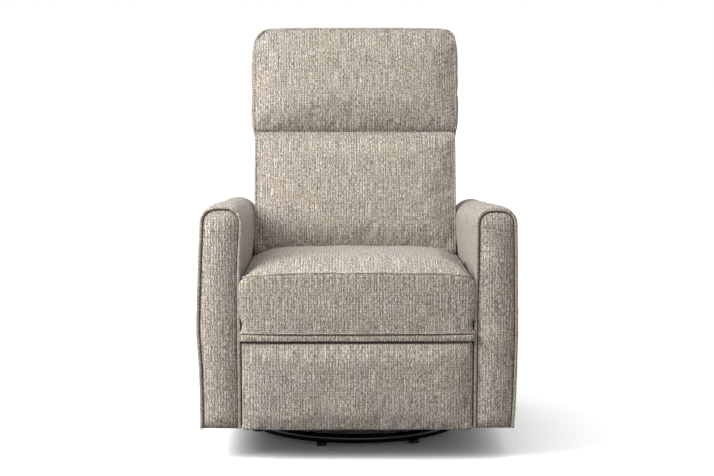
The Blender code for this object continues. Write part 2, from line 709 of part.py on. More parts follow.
# ---------------------------------------------------------------- arms
def arm_outline(sign):
    """Front outline of an arm: straight inner side, swollen shoulder, arched top, bowed outer side."""
    draw = ARM_BOW / 3
    inner = [(ARM_INNER_X, ARM_BOTTOM)]
    for rise, swell in ARM_SWELL_RISE:
        inner.append((ARM_INNER_X - ARM_SWELL * swell, ARM_BOTTOM + ARM_HEIGHT * rise))
    arch = []
    middle = ARM_INNER_X - ARM_SWELL / 2 + ARM_WIDTH / 2 - draw
    half = (ARM_WIDTH + ARM_SWELL) / 2 - 2 * draw
    for step in range(9):
        angle = math.radians(172 - 20.5 * step)
        rise = math.sin(angle) ** 0.62
        arch.append((middle + half * math.copysign(abs(math.cos(angle)) ** 0.8, math.cos(angle)),
                     ARM_TOP - ARM_SHOULDER * (1 - rise)))
    outer = [(ARM_OUTER_X + ARM_BOW * bow, ARM_BOTTOM + ARM_HEIGHT * rise) for rise, bow in ARM_BOW_RISE]
    outer += [(ARM_OUTER_X - draw / 2, ARM_BOTTOM + 2 * ARM_BOW), (ARM_OUTER_X - 2 * ARM_BOW, ARM_BOTTOM)]
    return [(sign * x, z) for x, z in inner + arch + outer]


def facing_outline(sign):
    """The padded front facing: the same arm with less of the swollen shoulder."""
    shoulder = ARM_BOTTOM + ARM_HEIGHT * ARM_SHOULDER_RISE
    points = []
    for x, z in arm_outline(1.0):
        points.append((sign * max(x, ARM_INNER_X - (FACING_SWELL if z > shoulder else 0.0)), z))
    return points


def drop_rear(mesh):
    """Slope the arm's top down towards the rear."""
    shoulder = ARM_BOTTOM + ARM_HEIGHT * ARM_SHOULDER_RISE
    for vert in mesh.vertices:
        if vert.co.z > shoulder:
            along = (vert.co.y - ARM_FRONT_Y) / (ARM_REAR_Y - ARM_FRONT_Y)
            vert.co.z -= ARM_REAR_DROP * along * (vert.co.z - shoulder) / (ARM_TOP - shoulder)


def build_arms(carriage):
    cover_front = ARM_FRONT_Y + ARM_FACING
    inner = ARM_INNER_X + ARM_FRAME_INSET
    outer = ARM_OUTER_X - ARM_FRAME_OUTER_INSET
    frame_low = ARM_BOTTOM + ARM_FRAME_LIFT
    frame_rear = ARM_REAR_Y - ARM_FRAME_INSET
    for side, sign in SIDES:
        channel = [
            (inner, frame_low), (inner + WALL, frame_low), (inner + WALL, ARM_FRAME_TOP - WALL),
            (outer - WALL, ARM_FRAME_TOP - WALL), (outer - WALL, frame_low), (outer, frame_low),
            (outer, ARM_FRAME_TOP), (inner, ARM_FRAME_TOP),
        ]
        frame = profile_mesh([(sign * x, z) for x, z in channel], cover_front, frame_rear)
        add_node("arm_frame_" + side, frame, "plywood", carriage)

        cover = profile_mesh(arm_outline(sign), cover_front, ARM_REAR_Y)
        drop_rear(cover)
        item = add_node("arm_cover_" + side, cover, "upholstery", carriage)
        bevel(item, ARM_EDGE, 2, 50.0)
        room = side_box(
            sign, (inner - GAP, cover_front - CUT_PAST, ARM_BOTTOM - CUT_PAST),
            (outer + GAP, frame_rear + GAP, ARM_FRAME_TOP + GAP),
        )
        cut(item, add_cutter("arm_room_" + side, room))

        facing = profile_mesh(facing_outline(sign), ARM_FRONT_Y, cover_front - GAP)
        item = add_node("arm_facing_" + side, facing, "upholstery", carriage)
        bevel(item, FACING_EDGE, 2, 50.0)

    reach = ARM_INNER_X - GAP
    rear_y = REAR_PANEL_Y + REAR_PANEL_THICK
    panel = box_mesh((-reach, REAR_PANEL_Y, REAR_PANEL_Z), (reach, rear_y, REAR_PANEL_TOP))
    bevel(add_node("rear_panel", panel, "upholstery", carriage), REAR_PANEL_EDGE)


# ---------------------------------------------------------------- back
def back_half_width(height):
    """Half the back's width at a height along it: narrower between the arms."""
    share = min(1.0, max(0.0, (height - BACK_WIDENS) / (CREASE - BACK_WIDENS)))
    return LUMBAR_HALF_WIDTH + (HEAD_HALF_WIDTH - LUMBAR_HALF_WIDTH) * share


def build_back(recline):
    """Pieces in the back's own frame: X across, Y to the rear, Z along the back from its pivot."""
    half, thick = BACK_BOARD_HALF_WIDTH, BACK_BOARD_HALF_THICK
    board = box_mesh((-half, -thick, BACK_BOARD_LOW), (half, thick, BACK_BOARD_HIGH))
    board = add_node("back_board", board, "plywood", recline, placed=False)
    for side, sign in SIDES:
        start = (sign * (half + CUT_PAST), 0.0, 0.0)
        end = (sign * (PLATE_X - BACK_PIN_DEPTH - STUD_PROUD), 0.0, 0.0)
        cutter = add_cutter("back_pin_hole_" + side, rod_mesh(start, end, BACK_PIN_RADIUS + PIN_FIT, 12))
        cutter.parent = recline
        cut(board, cutter)

    face = -thick - GAP
    edge = PAD_EDGE

    def lumbar_shape(a, b, c):
        crown = -PAD_CROWN * bell(a, 2.6) * bell(c, 2.4) if b < -0.99 else 0.0
        sides = -LUMBAR_DRAW_IN * bell(c, 4.0) * a if abs(a) > 0.99 else 0.0
        return (sides, crown, 0.0)

    low = (-LUMBAR_HALF_WIDTH, face - LUMBAR_DEPTH, LUMBAR_LOW)
    high = (LUMBAR_HALF_WIDTH, face, CREASE - PAD_PARTING / 2)
    cuts = (
        [low[0] + edge, *shares_of(low[0], high[0], (0.218, 0.406, 0.594, 0.782)), high[0] - edge],
        [low[1] + edge / 2, high[1] - edge / 2],
        [low[2] + edge, *shares_of(low[2], high[2], (0.325, 0.621)), high[2] - edge],
    )
    pad = cushion_mesh(low, high, cuts, lumbar_shape)
    item = add_node("lumbar_pad", pad, "upholstery", recline, placed=False)
    soften(item)
    smooth(item.data)

    def head_shape(a, b, c):
        crown = -PAD_CROWN * bell(a, 2.6) * bell(c, 2.4) if b < -0.99 else 0.0
        sides = -HEAD_DRAW_IN * bell(c, 4.0) * a if abs(a) > 0.99 else 0.0
        return (sides, crown, 0.0)

    low = (-HEAD_HALF_WIDTH, face - HEAD_DEPTH, CREASE + PAD_PARTING / 2)
    high = (HEAD_HALF_WIDTH, face, HEAD_HIGH)
    inset = HEAD_HALF_WIDTH - HEAD_CORNER
    across = shares_of(low[0], high[0], (0.268, 0.5, 0.732))
    cuts = (
        [low[0] + edge / 2, -inset, *across, inset, high[0] - edge / 2],
        [low[1] + edge / 2, high[1] - edge / 2],
        [low[2] + edge, *shares_of(low[2], high[2], (0.438,)), high[2] - HEAD_CORNER, high[2] - edge / 2],
    )
    pad = cushion_mesh(low, high, cuts, head_shape, HEAD_CORNER)
    item = add_node("head_pad", pad, "upholstery", recline, placed=False)
    soften(item)
    smooth(item.data)
    build_back_cover(recline, face)


def build_back_cover(recline, face):
    """The upholstered outside back: a tray, open to the front and below, round the board's rear."""
    outline = []
    for height in (COVER_LOW, BACK_WIDENS, CREASE):
        outline.append((back_half_width(height) - COVER_TRIM, height))
    wide = HEAD_HALF_WIDTH - COVER_TRIM
    corner = HEAD_CORNER
    outline += arc((wide - corner, COVER_HIGH - corner), corner, 0, 90, 5)
    outline += [(-x, z) for x, z in reversed(outline)]
    front = face + 2 * GAP
    tray = profile_mesh(outline, front, COVER_DEPTH)
    item = add_node("back_cover", tray, "upholstery", recline, placed=False)
    bevel(item, COVER_EDGE, 2, 60.0)
    room = []
    for height in (COVER_LOW - CUT_PAST, BACK_WIDENS, CREASE):
        room.append((back_half_width(height) - COVER_TRIM - COVER_WALL, height))
    room += arc((wide - corner, COVER_HIGH - corner), corner - COVER_WALL, 0, 90, 5)
    room += [(-x, z) for x, z in reversed(room)]
    cutter = add_cutter("back_room", profile_mesh(room, front - CUT_PAST, COVER_DEPTH - COVER_WALL))
    cutter.parent = recline
    cut(item, cutter)


# ---------------------------------------------------------------- footrest
def build_footrest(tube_axis, elbow_axis, ottoman_axis, stay_axis):
    elbow = swept(FOOT_PIVOT, FOOT_BAR_CLOSED, FOOT_BAR)
    stay_pivot, stay_pin, _ = stay_pivots()
    bar_x = PLATE_X - GLIDE_GAP - BAR_GAUGE
    mid_x = bar_x - GLIDE_GAP - BAR_GAUGE
    stay_x = mid_x - GLIDE_GAP - BAR_GAUGE
    fit = STUD_RADIUS + PIN_FIT
    run = direction(stay_pivot, stay_pin)
    slot_start = swept(stay_pin, run, -STAY_SLOT_SHIFT)
    slot = link_outline(slot_start, swept(slot_start, run - math.pi / 2, STAY_SLOT), STAY_SLOT_RADIUS)
    eye = swept(slot_start, run - math.pi / 2, STAY_SLOT / 2)
    eye_radius = STAY_SLOT / 2 + STAY_SLOT_RADIUS + BAR_EYE
    along = math.degrees(run)

    reach = PLATE_X + PLATE_GAUGE - GAP
    tube = rod_mesh((-reach, *FOOT_PIVOT), (reach, *FOOT_PIVOT), TORQUE_TUBE, 16)
    smooth(tube)
    add_node("footrest_torque_tube", tube, "zinc_steel", tube_axis)

    for side, sign in SIDES:
        outline = link_outline(FOOT_PIVOT, elbow, BAR_HALF_WIDTH)
        outline[7:] = arc(FOOT_PIVOT, TORQUE_TUBE + BAR_EYE, 0, 180, 6)
        holes = [(FOOT_PIVOT, TORQUE_TUBE + GAP * 1.8)]
        mesh = side_plate_mesh(sign, outline, holes, bar_x, BAR_GAUGE)
        bar = add_node("footrest_bar_" + side, mesh, "zinc_steel", tube_axis)
        add_stud(bar, sign, elbow, bar_x + BAR_GAUGE / 2, mid_x - STUD_PROUD, STUD_RADIUS)

        outline = link_outline(elbow, OTTOMAN_PIVOT, BAR_HALF_WIDTH)
        mesh = side_plate_mesh(sign, outline, [(elbow, fit), (OTTOMAN_PIVOT, fit)], mid_x, BAR_GAUGE)
        middle = add_node("footrest_middle_bar_" + side, mesh, "zinc_steel", elbow_axis)
        add_stud(middle, sign, stay_pin, mid_x + BAR_GAUGE / 2, stay_x - STUD_PROUD, STUD_RADIUS)

        outline = link_outline(stay_pivot, eye, BAR_HALF_WIDTH)
        outline[:7] = arc(eye, eye_radius, along - 110, along + 110, 8)
        mesh = side_plate_mesh(sign, outline, [(stay_pivot, fit)], stay_x, BAR_GAUGE, [slot])
        add_node("footrest_stay_" + side, mesh, "zinc_steel", stay_axis)

        back = FOOT_BOARD_Y + GAP
        outline = [(back, BRACKET_LOW), (back + BRACKET_FOOT, BRACKET_LOW)]
        outline += arc(OTTOMAN_PIVOT, BAR_HALF_WIDTH, -25, 90, 5)
        outline += [(back, OTTOMAN_PIVOT[1] + BAR_HALF_WIDTH)]
        mesh = side_plate_mesh(sign, outline, [], bar_x, BAR_GAUGE)
        bracket = add_node("ottoman_bracket_" + side, mesh, "zinc_steel", ottoman_axis)
        add_stud(bracket, sign, OTTOMAN_PIVOT, bar_x + BAR_GAUGE / 2, mid_x - STUD_PROUD, STUD_RADIUS)
        flange = side_box(
            sign, (bar_x + BAR_GAUGE - BRACKET_FLANGE, back, BRACKET_LOW + BRACKET_FLANGE_LIFT),
            (bar_x + BAR_GAUGE / 2, back + BRACKET_GAUGE, OTTOMAN_PIVOT[1]),
        )
        cut(bracket, add_cutter("ottoman_flange_" + side, flange), "UNION")

    half = FOOT_HALF_WIDTH - FOOT_BOARD_INSET
    board = box_mesh(
        (-half, FOOT_BOARD_Y - FOOT_BOARD_THICK, FOOT_BOTTOM + FOOT_BOARD_INSET),
        (half, FOOT_BOARD_Y, FOOT_TOP - FOOT_BOARD_INSET),
    )
    add_node("footrest_board", board, "plywood", ottoman_axis)

    def shape(a, b, c):
        crown = -FOOT_CROWN * bell(a, 4.0) * bell(c, 2.5) if b < -0.99 else 0.0
        return (0.0, crown, 0.0)

    rear = FOOT_BOARD_Y - FOOT_BOARD_THICK - GAP
    low = (-FOOT_HALF_WIDTH, FOOT_FRONT_Y, FOOT_BOTTOM)
    high = (FOOT_HALF_WIDTH, rear, FOOT_TOP)
    edge = FOOT_EDGE
    cuts = (
        [low[0] + edge, *shares_of(low[0], high[0], (0.174, 0.391, 0.609, 0.826)), high[0] - edge],
        [low[1] + edge, high[1] - edge / 2],
        [low[2] + edge, *shares_of(low[2], high[2], (0.33, 0.65)), high[2] - edge],
    )
    item = add_node("footrest_pad", cushion_mesh(low, high, cuts, shape), "upholstery", ottoman_axis)
    soften(item)
    smooth(item.data)


# ---------------------------------------------------------------- release lever
def build_release(axis):
    outline = link_outline(LEVER_PIVOT, LEVER_TOP, LEVER_HALF_WIDTH)
    outline[:7] = arc(LEVER_TOP, LEVER_GRIP, -60, 240, 10)
    mesh = plate_mesh(outline, [(LEVER_PIVOT, STUD_RADIUS + PIN_FIT)], LEVER_X, LEVER_GAUGE)
    add_node("release_lever", mesh, "black_plastic", axis)


def build_chair():
    clear_scene()
    build_base()
    swivel = add_axis("swivel_axis", (0.0, 0.0, UPPER_PLATE_Z))
    build_turntable(swivel)
    front = add_axis("front_link_axis", (0.0, -GLIDE_PIVOT_Y, UPPER_PIVOT_Z))
    rear = add_axis("rear_link_axis", (0.0, GLIDE_PIVOT_Y, UPPER_PIVOT_Z))
    build_links(front, "front", -GLIDE_PIVOT_Y)
    build_links(rear, "rear", GLIDE_PIVOT_Y)
    carriage = add_axis("carriage_axis", (0.0, -GLIDE_PIVOT_Y, LOWER_PIVOT_Z))
    build_carriage(carriage)
    build_seat_frame(carriage)
    build_seat_cushion(carriage)
    build_arms(carriage)
    recline = add_axis("recline_axis", (0.0, *BACK_PIVOT), -BACK_LEAN)
    build_back(recline)
    elbow = swept(FOOT_PIVOT, FOOT_BAR_CLOSED, FOOT_BAR)
    stay_pivot = stay_pivots()[0]
    build_footrest(
        add_axis("footrest_axis", (0.0, *FOOT_PIVOT)), add_axis("elbow_axis", (0.0, *elbow)),
        add_axis("ottoman_axis", (0.0, *OTTOMAN_PIVOT)), add_axis("stay_axis", (0.0, *stay_pivot)),
    )
    build_release(add_axis("lever_axis", (LEVER_X, *LEVER_PIVOT)))


build_chair()
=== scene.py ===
import json
import math

import bmesh
import bpy
from mathutils import Euler, Matrix, Vector, noise


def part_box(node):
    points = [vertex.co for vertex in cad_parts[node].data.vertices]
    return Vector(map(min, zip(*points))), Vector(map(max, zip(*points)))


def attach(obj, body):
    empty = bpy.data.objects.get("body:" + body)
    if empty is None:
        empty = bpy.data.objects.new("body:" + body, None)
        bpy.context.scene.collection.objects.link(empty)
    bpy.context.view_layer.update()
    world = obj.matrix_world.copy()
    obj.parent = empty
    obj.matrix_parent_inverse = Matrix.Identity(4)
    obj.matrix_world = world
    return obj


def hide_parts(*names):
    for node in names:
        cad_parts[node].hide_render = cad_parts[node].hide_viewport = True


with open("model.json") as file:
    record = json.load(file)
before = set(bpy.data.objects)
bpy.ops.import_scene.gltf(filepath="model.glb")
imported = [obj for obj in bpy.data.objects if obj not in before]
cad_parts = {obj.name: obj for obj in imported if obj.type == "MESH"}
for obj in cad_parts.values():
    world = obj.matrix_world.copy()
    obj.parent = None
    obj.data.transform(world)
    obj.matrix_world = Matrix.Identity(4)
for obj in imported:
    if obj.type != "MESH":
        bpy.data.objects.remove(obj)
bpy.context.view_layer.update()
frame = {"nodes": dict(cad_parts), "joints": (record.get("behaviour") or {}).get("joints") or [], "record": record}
scene = bpy.context.scene
print("frame loaded:", len(frame["nodes"]), "nodes")

camera = {
    "aside": -0.040, "distance": 4.600, "height": 1.039, "tiltDown": 6.72, "turn": 0.54,
    "lens": 88.42, "sensor": 36.0, "farthest": 60.0,
}


def placeCamera():
    data = bpy.data.cameras.new("camera")
    data.lens = camera["lens"]
    data.sensor_width = camera["sensor"]
    data.clip_end = camera["farthest"]
    holder = bpy.data.objects.new("camera", data)
    scene.collection.objects.link(holder)
    holder.location = (camera["aside"], -camera["distance"], camera["height"])
    holder.rotation_euler = (math.radians(90.0 - camera["tiltDown"]), 0.0, -math.radians(camera["turn"]))
    scene.camera = holder


def toLinear(hexText):
    shares = [int(hexText[at:at + 2], 16) / 255 for at in (1, 3, 5)]
    return tuple(s / 12.92 if s <= 0.04045 else ((s + 0.055) / 1.055) ** 2.4 for s in shares) + (1.0,)


def addNode(tree, kind, settings=None, links=None):
    node = tree.nodes.new(kind)
    for name, value in (settings or {}).items():
        if isinstance(name, int) or name in node.inputs:
            node.inputs[name].default_value = value
        else:
            setattr(node, name, value)
    for name, source in (links or {}).items():
        tree.links.new(source, node.inputs[name])
    return node


studio = {
    "backdrop": "#FFFFFF", "ambient": 0.85,
    "floorSeen": 1.25, "floorBounce": 0.16,             # paler to the eye than to the chair
    "softbox": {"from": (-1.95, -1.40, 1.75), "aim": (0.0, -0.10, 0.45), "size": 1.4, "power": 82.0},
    "overhead": {"from": (-0.10, -0.15, 1.0), "spread": 50.0, "strength": 0.35},
    "floorReach": 30.0,
}


def lightStudio():
    world = bpy.data.worlds.new("studio")
    scene.world = world
    world.use_nodes = True
    tree = world.node_tree
    tree.nodes.clear()
    path = addNode(tree, "ShaderNodeLightPath")
    clear = addNode(tree, "ShaderNodeMath", {"operation": "MAXIMUM"},
                    {0: path.outputs["Is Camera Ray"], 1: path.outputs["Is Transmission Ray"]})
    shown = addNode(tree, "ShaderNodeMath", {"operation": "MAXIMUM"},
                    {0: clear.outputs[0], 1: path.outputs["Is Glossy Ray"]})
    strength = addNode(tree, "ShaderNodeMapRange", {"To Min": studio["ambient"], "To Max": 1.0},
                       {"Value": shown.outputs[0]})
    light = addNode(tree, "ShaderNodeBackground", {"Color": toLinear(studio["backdrop"])},
                    {"Strength": strength.outputs[0]})
    addNode(tree, "ShaderNodeOutputWorld", links={"Surface": light.outputs[0]})
    for name, kind in (("softbox", "AREA"), ("overhead", "SUN")):
        wanted = studio[name]
        lamp = bpy.data.lights.new(name, kind)
        holder = bpy.data.objects.new(name, lamp)
        scene.collection.objects.link(holder)
        if kind == "AREA":
            lamp.energy, lamp.size = wanted["power"], wanted["size"]
            holder.location = wanted["from"]
            way = Vector(wanted["from"]) - Vector(wanted["aim"])
        else:
            lamp.energy, lamp.angle = wanted["strength"], math.radians(wanted["spread"])
            way = Vector(wanted["from"])
        holder.rotation_euler = way.to_track_quat("Z", "Y").to_euler()


def layFloor():
    mesh = bpy.data.meshes.new("floor")
    reach = studio["floorReach"]
    corners = [(-reach, -reach, 0), (reach, -reach, 0), (reach, reach, 0), (-reach, reach, 0)]
    mesh.from_pydata(corners, [], [(0, 1, 2, 3)])
    floor = bpy.data.objects.new("floor", mesh)
    scene.collection.objects.link(floor)
    # matt white painted floor: only its shade tells it from the backdrop
    material = bpy.data.materials.new("mattPaintedFloor")
    material.use_nodes = True
    tree = material.node_tree
    tree.nodes.clear()
    path = addNode(tree, "ShaderNodeLightPath")
    tone = addNode(tree, "ShaderNodeMapRange",
                   {"To Min": studio["floorBounce"], "To Max": studio["floorSeen"]},
                   {"Value": path.outputs["Is Camera Ray"]})
    paint = addNode(tree, "ShaderNodeBsdfDiffuse", links={"Color": tone.outputs[0]})
    addNode(tree, "ShaderNodeOutputMaterial", links={"Surface": paint.outputs[0]})
    mesh.materials.append(material)


placeCamera()
lightStudio()
layFloor()
scene.view_settings.view_transform = "Standard"
print("studio ready")

millimetre = 0.001


def newMaterial(name, sockets):
    material = bpy.data.materials.new(name)
    material.use_nodes = True
    shader = material.node_tree.nodes["Principled BSDF"]
    for socket, value in sockets.items():
        shader.inputs[socket].default_value = value
    return material, material.node_tree, shader


def addNoise(tree, place, size, detail, more=None):
    # noise with grains of a size in millimetres
    settings = {"Scale": 1 / (size * millimetre), "Detail": detail, **(more or {})}
    return addNode(tree, "ShaderNodeTexNoise", settings, {"Vector": place.outputs["Object"]})


def addRamp(tree, source, low, high, lowAt=0.0, highAt=1.0):
    ramp = addNode(tree, "ShaderNodeValToRGB", links={"Fac": source})
    ends = ramp.color_ramp.elements
    ends[0].position, ends[0].color = lowAt, toLinear(low)
    ends[1].position, ends[1].color = highAt, toLinear(high)
    return ramp


def addBump(tree, shader, height, strength, depth):
    # relief of a depth in millimetres
    bump = addNode(tree, "ShaderNodeBump", {"Strength": strength, "Distance": depth * millimetre},
                   {"Height": height})
    tree.links.new(bump.outputs[0], shader.inputs["Normal"])


# Woven polyester tweed: chunky slub yarns run up the cloth and finer picks cross them, so it
# reads as warm greige with rows of short pale dashes, darker gaps and a soft, dry sheen.
tweed = {
    "slub": (1.6, 10.0), "streak": (2.4, 60.0), "pick": (2.4, 2.8), "knot": (3.2, 7.0), "loose": 0.7,
    "knotMean": 0.42,
    "ribs": ((7.1, 0.028), (5.3, 0.014)),
    "shares": (0.36, 0.24, 0.26, 0.14), "spread": 0.125, "patch": 70.0, "wander": 0.5,
    "shade": "#645D54", "warp": "#928A7F", "pale": "#B4ADA2", "nub": "#E6E1D8",
    "mauve": "#F2EFF2", "straw": "#F5F2EC", "bump": 0.8, "depth": 0.8, "drift": 45.0,
    "warpAt": 0.36, "paleAt": 0.66, "mauveAt": 0.36, "strawAt": 0.64, "levelSlope": 1.2,
}


def wovenTweed(name, turned=False, fine=1.0):
    material, tree, shader = newMaterial(name, {
        "Roughness": 0.92, "Sheen Weight": 0.15, "Sheen Roughness": 0.5, "Specular IOR Level": 0.2,
    })
    place = addNode(tree, "ShaderNodeTexCoord")
    size = addNode(tree, "ShaderNodeVectorMath", {"operation": "ABSOLUTE"}, {0: place.outputs["Normal"]})
    facing = addNode(tree, "ShaderNodeSeparateXYZ", links={0: size.outputs[0]})
    spot = addNode(tree, "ShaderNodeSeparateXYZ", links={0: place.outputs["Object"]})
    # slubs run up the piece, and from front to back where it lies level
    upright = addNode(tree, "ShaderNodeMath", {"operation": "MAXIMUM"},
                      {0: facing.outputs["X"], 1: facing.outputs["Y"]})
    steep = addNode(tree, "ShaderNodeMath", {"operation": "MULTIPLY", 1: tweed["levelSlope"]},
                    {0: upright.outputs[0]})
    level = addNode(tree, "ShaderNodeMath", {"operation": "GREATER_THAN"},
                    {0: facing.outputs["Z"], 1: steep.outputs[0]})
    sideways = addNode(tree, "ShaderNodeMath", {"operation": "GREATER_THAN"},
                       {0: facing.outputs["X"], 1: facing.outputs["Y"]})
    flank = addNode(tree, "ShaderNodeMath", {"operation": "SUBTRACT", "use_clamp": True},
                    {0: sideways.outputs[0], 1: level.outputs[0]})
    across = addNode(tree, "ShaderNodeMix",
                     links={0: flank.outputs[0], 2: spot.outputs["X"], 3: spot.outputs["Y"]})
    along = addNode(tree, "ShaderNodeMix",
                    links={0: level.outputs[0], 2: spot.outputs["Z"], 3: spot.outputs["Y"]})
    ways = (along, across) if turned else (across, along)
    flat = addNode(tree, "ShaderNodeCombineXYZ", links={0: ways[0].outputs[0], 1: ways[1].outputs[0]})
    drift = addNoise(tree, place, tweed["drift"], 1.0)
    shift = addNode(tree, "ShaderNodeVectorMath",
                    {"operation": "SCALE", "Scale": tweed["wander"] * millimetre * 4},
                    {0: drift.outputs["Color"]})
    laid = addNode(tree, "ShaderNodeVectorMath", links={0: flat.outputs[0], 1: shift.outputs[0]})

    def scaledTo(kind):
        wide, long = [length * fine * millimetre for length in tweed[kind]]
        scaled = addNode(tree, "ShaderNodeMapping", {"Scale": (1 / wide, 1 / long, 1.0)},
                         {0: laid.outputs[0]})
        return {"Vector": scaled.outputs[0]}

    weave = None
    for kind, share in zip(("slub", "streak", "pick"), tweed["shares"]):
        yarn = addNode(tree, "ShaderNodeTexNoise", {"noise_dimensions": "2D", "Scale": 1.0, "Detail": 1.5},
                       scaledTo(kind))
        step = addNode(tree, "ShaderNodeMath", {"operation": "MULTIPLY_ADD", 1: share, 2: 0.0},
                       {0: yarn.outputs["Fac"]})
        if weave:
            tree.links.new(weave.outputs[0], step.inputs[2])
        weave = step
    knot = addNode(tree, "ShaderNodeTexVoronoi",
                   {"voronoi_dimensions": "2D", "Scale": 1.0, "Randomness": tweed["loose"]}, scaledTo("knot"))
    ribbed = addNode(tree, "ShaderNodeMath", {"operation": "MULTIPLY_ADD", 1: -tweed["shares"][3]},
                     {0: knot.outputs["Distance"], 2: weave.outputs[0]})
    reach = addNode(tree, "ShaderNodeSeparateXYZ", links={0: laid.outputs[0]})
    for axis, (pitch, share) in zip(("X", "Y"), tweed["ribs"]):
        turns = addNode(tree, "ShaderNodeMath",
                        {"operation": "MULTIPLY", 1: 2 * math.pi / (pitch * fine * millimetre)},
                        {0: reach.outputs[axis]})
        wave = addNode(tree, "ShaderNodeMath", {"operation": "SINE"}, {0: turns.outputs[0]})
        ribbed = addNode(tree, "ShaderNodeMath", {"operation": "MULTIPLY_ADD", 1: share},
                         {0: wave.outputs[0], 2: ribbed.outputs[0]})
    middle = sum(tweed["shares"][:3]) / 2 - tweed["shares"][3] * tweed["knotMean"]
    height = addNode(tree, "ShaderNodeMapRange",
                     {"From Min": middle - tweed["spread"], "From Max": middle + tweed["spread"]},
                     {0: ribbed.outputs[0]})
    tone = addRamp(tree, height.outputs[0], tweed["shade"], tweed["nub"])
    tone.color_ramp.elements.new(tweed["warpAt"]).color = toLinear(tweed["warp"])
    tone.color_ramp.elements.new(tweed["paleAt"]).color = toLinear(tweed["pale"])
    patches = addNoise(tree, place, tweed["patch"], 3.0)
    tint = addRamp(tree, patches.outputs["Fac"], tweed["mauve"], tweed["straw"], tweed["mauveAt"],
                   tweed["strawAt"])
    tinted = addNode(tree, "ShaderNodeMix", {"data_type": "RGBA", "blend_type": "MULTIPLY", 0: 1.0},
                     {6: tone.outputs[0], 7: tint.outputs[0]})
    tree.links.new(tinted.outputs[2], shader.inputs["Base Color"])
    addBump(tree, shader, height.outputs[0], tweed["bump"], tweed["depth"])
    return material


# Powder coated steel tube: near black, a tight gloss over a faint orange peel.
powderCoat = {
    "colour": "#0B0B0C", "scuff": "#1C1C1D", "scuffSize": 25.0, "peel": 1.2, "bump": 0.12, "depth": 0.2,
}


def powderCoatedSteel():
    material, tree, shader = newMaterial("powderCoatedSteel", {
        "Roughness": 0.26, "Coat Weight": 0.35, "Coat Roughness": 0.12,
    })
    place = addNode(tree, "ShaderNodeTexCoord")
    peel = addNoise(tree, place, powderCoat["peel"], 2.0)
    scuffs = addNoise(tree, place, powderCoat["scuffSize"], 6.0, {"Roughness": 0.7})
    tone = addRamp(tree, scuffs.outputs["Fac"], powderCoat["colour"], powderCoat["scuff"], 0.5, 0.75)
    tree.links.new(tone.outputs[0], shader.inputs["Base Color"])
    addBump(tree, shader, peel.outputs["Fac"], powderCoat["bump"], powderCoat["depth"])
    return material


# Zinc plated pressed steel: cool grey with cloudy spangle and rolling lines along its length.
zinc = {"pale": "#B9BCBF", "cloud": "#8E9296", "spangle": 9.0, "line": 0.8, "stretch": 0.03}


def zincPlatedSteel():
    material, tree, shader = newMaterial("zincPlatedSteel", {"Metallic": 1.0, "Roughness": 0.38})
    place = addNode(tree, "ShaderNodeTexCoord")
    spangle = addNode(tree, "ShaderNodeTexVoronoi", {"Scale": 1 / (zinc["spangle"] * millimetre)},
                      {"Vector": place.outputs["Object"]})
    tone = addRamp(tree, spangle.outputs["Color"], zinc["cloud"], zinc["pale"])
    tree.links.new(tone.outputs[0], shader.inputs["Base Color"])
    stretch = addNode(tree, "ShaderNodeMapping", {"Scale": (1.0, zinc["stretch"], 1.0)},
                      {"Vector": place.outputs["Object"]})
    lines = addNode(tree, "ShaderNodeTexNoise", {"Scale": 1 / (zinc["line"] * millimetre), "Detail": 3.0},
                    {"Vector": stretch.outputs[0]})
    gloss = addNode(tree, "ShaderNodeMapRange", {"To Min": 0.28, "To Max": 0.5},
                    {"Value": lines.outputs["Fac"]})
    tree.links.new(gloss.outputs[0], shader.inputs["Roughness"])
    return material


# Oil tempered spring wire: dark blue-grey scale that is drawn along the wire.
wire = {"scale": "#2C2D31", "bare": "#55565B", "mark": 2.5}


def temperedWire():
    material, tree, shader = newMaterial("temperedWire", {"Metallic": 1.0, "Roughness": 0.42})
    place = addNode(tree, "ShaderNodeTexCoord")
    marks = addNoise(tree, place, wire["mark"], 4.0)
    tone = addRamp(tree, marks.outputs["Fac"], wire["scale"], wire["bare"], 0.4, 0.7)
    tree.links.new(tone.outputs[0], shader.inputs["Base Color"])
    return material


# Sanded birch plywood: pale face grain along the part, with fine darker veins.
plywood = {"pale": "#D2B285", "vein": "#A97F4E", "grain": 3.0, "run": 14.0, "bump": 0.3, "depth": 0.3}


def sandedPlywood():
    material, tree, shader = newMaterial("sandedPlywood", {"Roughness": 0.62})
    place = addNode(tree, "ShaderNodeTexCoord")
    scale = 1 / (plywood["grain"] * millimetre)
    along = addNode(tree, "ShaderNodeMapping", {"Scale": (scale / plywood["run"], scale, scale)},
                    {"Vector": place.outputs["Object"]})
    grain = addNode(tree, "ShaderNodeTexNoise", {"Scale": 1.0, "Detail": 5.0, "Distortion": 0.6},
                    {"Vector": along.outputs[0]})
    tone = addRamp(tree, grain.outputs["Fac"], plywood["vein"], plywood["pale"], 0.38, 0.56)
    tree.links.new(tone.outputs[0], shader.inputs["Base Color"])
    addBump(tree, shader, grain.outputs["Fac"], plywood["bump"], plywood["depth"])
    return material


# Moulded black polypropylene: satin, with a fine spark-eroded texture.
moulding = {"colour": "#151516", "grit": 0.7, "bump": 0.25, "depth": 0.2}


def mouldedPolypropylene():
    material, tree, shader = newMaterial("mouldedPolypropylene", {
        "Base Color": toLinear(moulding["colour"]), "Roughness": 0.5, "IOR": 1.49,
    })
    place = addNode(tree, "ShaderNodeTexCoord")
    grit = addNoise(tree, place, moulding["grit"], 3.0)
    addBump(tree, shader, grit.outputs["Fac"], moulding["bump"], moulding["depth"])
    return material


# Painted seam shadow: thin dark taupe tubes, twisted in tone, laid beside each piping so they draw a fine dark
# line where the seam lies in shade.
seamShadowTube = {"colour": "#595148", "shade": "#342E28", "twist": 1.4}


